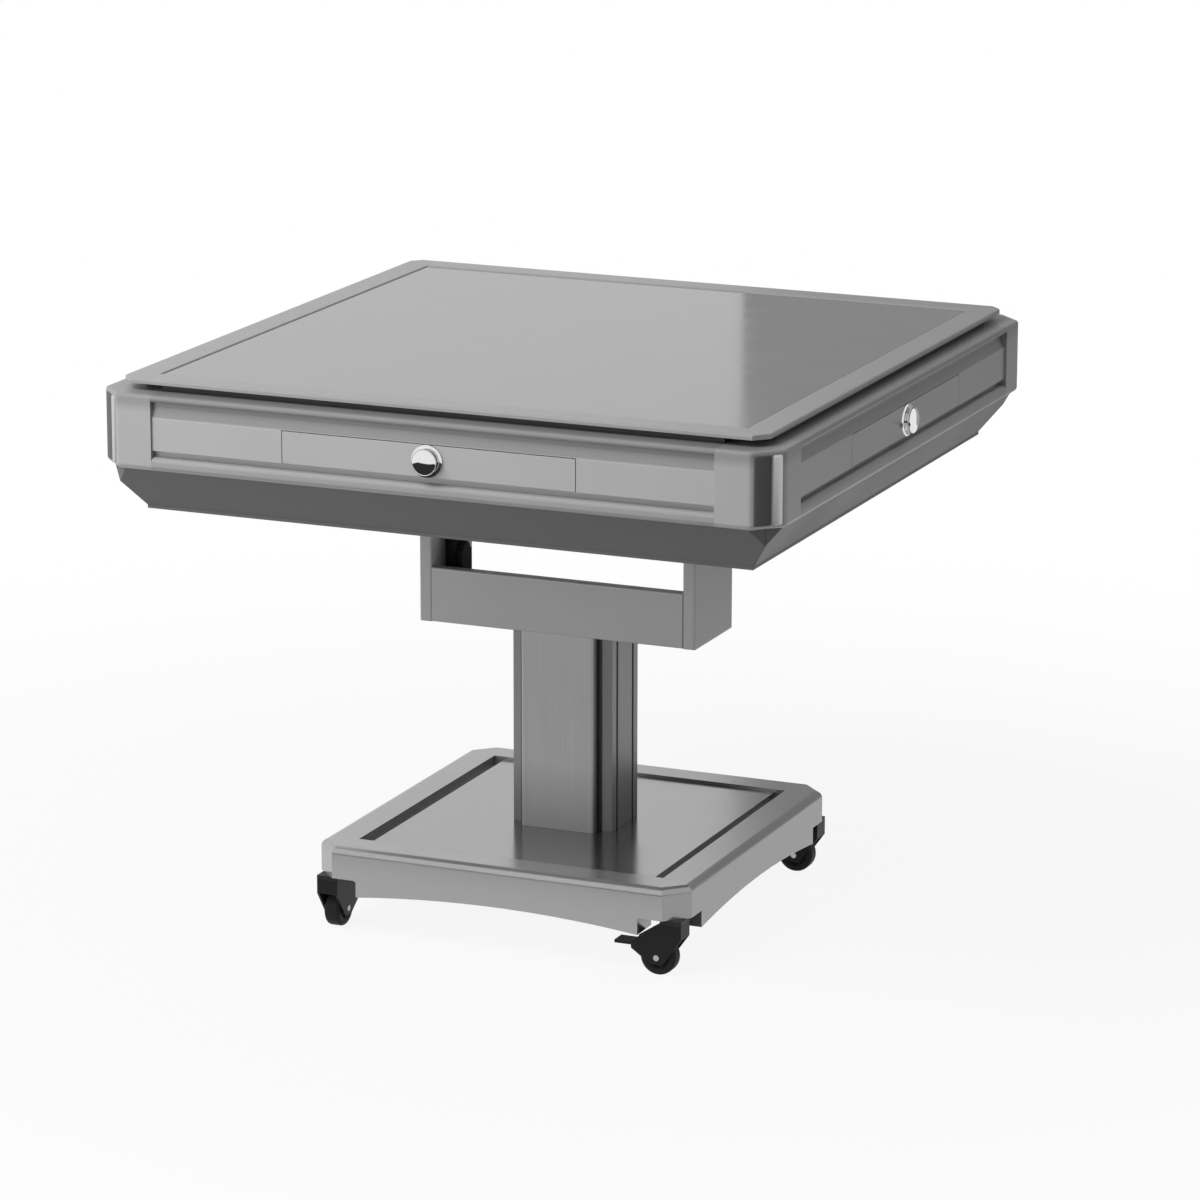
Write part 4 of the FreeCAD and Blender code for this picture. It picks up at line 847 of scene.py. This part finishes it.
class MAHJONG_TABLE_OT_make_corner_strips(TableOperator, bpy.types.Operator):
    """Lay a dark strip of painted shade and a bright strip of painted highlight on each cut corner"""
    bl_idname = "mahjong_table.make_corner_strips"
    bl_label = "Make Corner Strips"

    def execute(self, context):
        finishes = context.scene.table_finishes
        corner = context.scene.corner_sizes
        # Painted shade and highlight: the dark strip and the bright strip stand for the dark and bright bands
        # on a rounded corner.
        dark = worn_and_shaded_finish("dark_corner_inlay", finishes.shade_inlay, "shade_inlay", Specular_IOR_Level=LOW_SHINE)
        bright = worn_and_shaded_finish("bright_corner_bead", finishes.highlight_bead, "highlight_bead", metallic=0.7)
        strips = (("corner_inlay", corner.shade_inlay_width, -corner.shade_inlay_place, corner.shade_inlay_height,
                   dark, "dark_skirt"),
                  ("corner_bead", corner.highlight_bead_width, corner.highlight_bead_place, corner.highlight_bead_height,
                   bright, "silver_rim"))
        low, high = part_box("corner_blocks")
        middle = high.x - corner.cut / 2
        reach = high.z - low.z - corner.margin * 2
        slant = Matrix.Rotation(math.pi / 4, 4, "Z") @ Matrix.Rotation(math.pi / 2, 4, "X")
        face = Matrix.Translation((middle, -middle, (low.z + high.z) / 2)) @ slant
        for quarter, place in enumerate(CORNERS):
            upright = Matrix.Rotation(quarter * math.pi / 2, 4, "Z") @ face
            for name, width, offset, height, finish, slot in strips:
                shape = bmesh.new()
                crowned_strip(shape, width, height, reach, corner.end_round,
                              upright @ Matrix.Translation((offset, 0, 0)))
                piece = mesh_object(f"{name}_{place}", shape, finish)
                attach(piece, "machine")
        return {"FINISHED"}


class MAHJONG_TABLE_OT_make_wheels(TableOperator, bpy.types.Operator):
    """Turn the caster wheels, with rounded treads and ribbed hubs"""
    bl_idname = "mahjong_table.make_wheels"
    bl_label = "Make Wheels"

    def execute(self, context):
        finishes = context.scene.table_finishes
        tread = worn_and_shaded_finish("black_wheel_tread", finishes.tread, "tread", bump=0.0001,
                            Specular_IOR_Level=LOW_SHINE)
        hub = worn_and_shaded_finish("black_wheel_hub", finishes.black, "hub", Specular_IOR_Level=LOW_SHINE)
        for place in PLACES:
            self.make_wheel(context.scene.wheel_sizes, place, tread, hub)
        return {"FINISHED"}

    def make_wheel(self, wheel, place, tread, hub):
        node = f"caster_wheel_{place}"
        low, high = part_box(node)
        extent = high - low
        axis = 0 if extent.x < extent.y else 1
        direction = Vector((0, 0, 0))
        direction[axis] = 1.0
        radius = extent.z / 2
        half = extent[axis] / 2
        bore_low, bore_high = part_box(f"caster_axle_{place}")
        bore = (bore_high.z - bore_low.z) / 2 * wheel.bore
        placing = along_axis((low + high) / 2, direction)
        tyre = bmesh.new()
        turned_shape(tyre, self.tyre_profile(wheel, radius, half), wheel.steps, placing)
        piece = mesh_object(f"wheel_tyre_{place}", tyre, tread)
        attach(piece, f"wheel_{place}")
        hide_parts(node)
        disc = bmesh.new()
        turned_shape(disc, self.hub_profile(wheel, radius, half, bore), wheel.steps, placing)
        for face in (-1, 1):
            self.add_ribs(disc, wheel, radius, half, placing, face)
        piece = mesh_object(f"wheel_hub_{place}", disc, hub)
        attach(piece, f"wheel_{place}")

    def tyre_profile(self, wheel, radius, half):
        inner = radius * wheel.hub
        shoulder = half * wheel.shoulder
        profile = [(inner, -half)]
        profile += arc((radius - shoulder, shoulder - half), shoulder, 270, 360, TREAD_STEPS)
        profile += arc((radius - shoulder, half - shoulder), shoulder, 0, 90, TREAD_STEPS)
        profile += [(inner, half), (inner, -half)]
        return profile

    def hub_profile(self, wheel, radius, half, bore):
        rim = radius * (wheel.hub - wheel.hub_gap)
        boss = radius * wheel.boss
        face = half * wheel.hub_face
        dish = half * (1 - wheel.dish)
        lip = radius * wheel.lip
        upper = [(bore, face), (boss, face), (boss + lip * wheel.boss_slope, dish),
                 (rim - lip * (1 + wheel.lip_slope), dish), (rim - lip, face), (rim, face)]
        lower = [(reach, -along) for reach, along in reversed(upper)]
        return upper + lower + upper[:1]

    def add_ribs(self, shape, wheel, radius, half, placing, face):
        width = radius * wheel.rib_width / 2
        inner = radius * wheel.boss * wheel.rib_start
        outer = radius * (wheel.hub - wheel.rib_gap)
        dish = half * (1 - wheel.dish)
        bottom, top = sorted((face * dish * wheel.rib_height, face * half * wheel.rib_height))
        for rib in range(wheel.ribs):
            turn = Matrix.Rotation(math.tau * rib / wheel.ribs, 4, "Z")
            block_shape(shape, (inner, -width, bottom), (outer, width, top), placing @ turn,
                        width * wheel.rib_round)


class MAHJONG_TABLE_OT_make_stage(TableOperator, bpy.types.Operator):
    """Set the camera, lamps, floor and backdrop"""
    bl_idname = "mahjong_table.make_stage"
    bl_label = "Make Stage"

    def execute(self, context):
        stage = context.scene.stage_sizes
        context.scene.view_settings.view_transform = "Standard"
        self.set_camera(context, stage)
        self.set_world(context, stage)
        self.set_lamps(context, stage)
        self.lay_floor(stage)
        self.stand_card("grey_card", GREY_CARD, stage.card_tone)
        self.stand_card("dark_flag", DARK_FLAG, stage.flag_tone)
        return {"FINISHED"}

    def set_camera(self, context, stage):
        camera = bpy.data.objects.new("photo_camera", bpy.data.cameras.new("photo_camera"))
        context.scene.collection.objects.link(camera)
        level = math.cos(stage.elevation)
        back = Vector((math.sin(stage.azimuth) * level, -math.cos(stage.azimuth) * level,
                       math.sin(stage.elevation)))
        camera.location = Vector((0, 0, stage.pivot_height)) + back * stage.distance
        camera.rotation_mode = "QUATERNION"
        camera.rotation_quaternion = (-back).to_track_quat("-Z", "Y")
        camera.data.lens = stage.lens
        camera.data.sensor_width = SENSOR_WIDTH
        camera.data.shift_x = stage.shift_x
        camera.data.shift_y = stage.shift_y
        camera.data.clip_end = FAR_CLIP
        context.scene.camera = camera

    def set_world(self, context, stage):
        world = bpy.data.worlds.new("white_studio")
        context.scene.world = world
        world.use_nodes = True
        tree = world.node_tree
        even = tree.nodes["Background"]
        white = tree.nodes.new("ShaderNodeBackground")
        for light, strength in ((even, stage.ambient), (white, 1.0)):
            light.inputs["Color"].default_value = WHITE
            light.inputs["Strength"].default_value = strength
        chosen = mix_shaders(tree, self.seen_rays(tree), even.outputs["Background"],
                             white.outputs["Background"])
        tree.links.new(chosen, tree.nodes["World Output"].inputs["Surface"])

    def seen_rays(self, tree):
        path = tree.nodes.new("ShaderNodeLightPath")
        seen = math_node(tree, "MAXIMUM", path.outputs["Is Camera Ray"], path.outputs["Is Glossy Ray"])
        return math_node(tree, "MAXIMUM", seen, path.outputs["Is Transmission Ray"])

    def set_lamps(self, context, stage):
        for title, place in LAMP_PLACES.items():
            lamp = bpy.data.lights.new(f"{title}_lamp", "AREA")
            lamp.energy = getattr(stage, f"{title}_power")
            lamp.size = stage.lamp_size
            holder = bpy.data.objects.new(f"{title}_lamp", lamp)
            holder.location = place
            holder.rotation_mode = "QUATERNION"
            holder.rotation_quaternion = (LAMP_TARGET - Vector(place)).to_track_quat("-Z", "Y")
            holder.visible_glossy = False
            context.scene.collection.objects.link(holder)

    def lay_floor(self, stage):
        material, tree, surface = stage_material("pale_floor")
        matt = tree.nodes.new("ShaderNodeBsdfDiffuse")
        matt.inputs["Color"].default_value = grey(stage.floor_tone)
        white = tree.nodes.new("ShaderNodeEmission")
        white.inputs["Strength"].default_value = 1.0
        clear = tree.nodes.new("ShaderNodeBsdfTransparent")
        paleness = math_node(tree, "MULTIPLY", self.seen_rays(tree), stage.floor_white)
        pale = mix_shaders(tree, paleness, matt.outputs["BSDF"], white.outputs["Emission"])
        reach = tree.nodes.new("ShaderNodeVectorMath")
        reach.operation = "LENGTH"
        tree.links.new(object_place(tree), reach.inputs[0])
        start, end = (stage.floor_radius * part for part in FLOOR_FADE)
        faded = smooth_step(tree, reach.outputs["Value"], start, end)
        underneath = tree.nodes.new("ShaderNodeNewGeometry").outputs["Backfacing"]
        clearness = math_node(tree, "MAXIMUM", faded, underneath)
        tree.links.new(mix_shaders(tree, clearness, pale, clear.outputs["BSDF"]), surface)
        shape = bmesh.new()
        bmesh.ops.create_circle(shape, cap_ends=True, segments=FLOOR_FACETS, radius=stage.floor_radius)
        floor = mesh_object("studio_floor", shape, material)

    def stand_card(self, name, corners, tone):
        material, tree, surface = stage_material(name)
        even = tree.nodes.new("ShaderNodeEmission")
        even.inputs["Color"].default_value = grey(tone)
        tree.links.new(even.outputs["Emission"], surface)
        shape = bmesh.new()
        shape.faces.new([shape.verts.new(Vector(corner)) for corner in corners])
        card = mesh_object(name, shape, material)
        for kind in UNSEEN_BY:
            setattr(card, f"visible_{kind}", False)


OPERATORS = (MAHJONG_TABLE_OT_dress_shell, MAHJONG_TABLE_OT_dress_top, MAHJONG_TABLE_OT_dress_stand,
             MAHJONG_TABLE_OT_dress_running_gear, MAHJONG_TABLE_OT_make_knobs,
             MAHJONG_TABLE_OT_make_corner_strips, MAHJONG_TABLE_OT_make_wheels, MAHJONG_TABLE_OT_make_stage)
VALUE_GROUPS = {"table_finishes": TableFinishes, "knob_sizes": KnobSizes, "corner_sizes": CornerSizes,
                "wheel_sizes": WheelSizes, "stage_sizes": StageSizes}


class VIEW3D_PT_mahjong_table(bpy.types.Panel):
    """Sidebar panel with the table's values and operators."""
    bl_label = "Mahjong Table"
    bl_space_type = "VIEW_3D"
    bl_region_type = "UI"
    bl_category = "Table"

    def draw(self, context):
        for values in VALUE_GROUPS:
            box = self.layout.box()
            group = getattr(context.scene, values)
            for name in group.__annotations__:
                box.prop(group, name)
        for operator in OPERATORS:
            self.layout.operator(operator.bl_idname)


CLASSES = (*VALUE_GROUPS.values(), *OPERATORS, VIEW3D_PT_mahjong_table)


def register():
    for item in CLASSES:
        bpy.utils.register_class(item)
    for name, group in VALUE_GROUPS.items():
        setattr(bpy.types.Scene, name, PointerProperty(type=group))


def unregister():
    for name in VALUE_GROUPS:
        delattr(bpy.types.Scene, name)
    for item in reversed(CLASSES):
        bpy.utils.unregister_class(item)


def main():
    register()
    bpy.ops.mahjong_table.dress_shell()
    bpy.ops.mahjong_table.dress_top()
    bpy.ops.mahjong_table.dress_stand()
    bpy.ops.mahjong_table.dress_running_gear()
    bpy.ops.mahjong_table.make_knobs()
    bpy.ops.mahjong_table.make_corner_strips()
    bpy.ops.mahjong_table.make_wheels()
    bpy.ops.mahjong_table.make_stage()


if __name__ == "__main__":
    main()
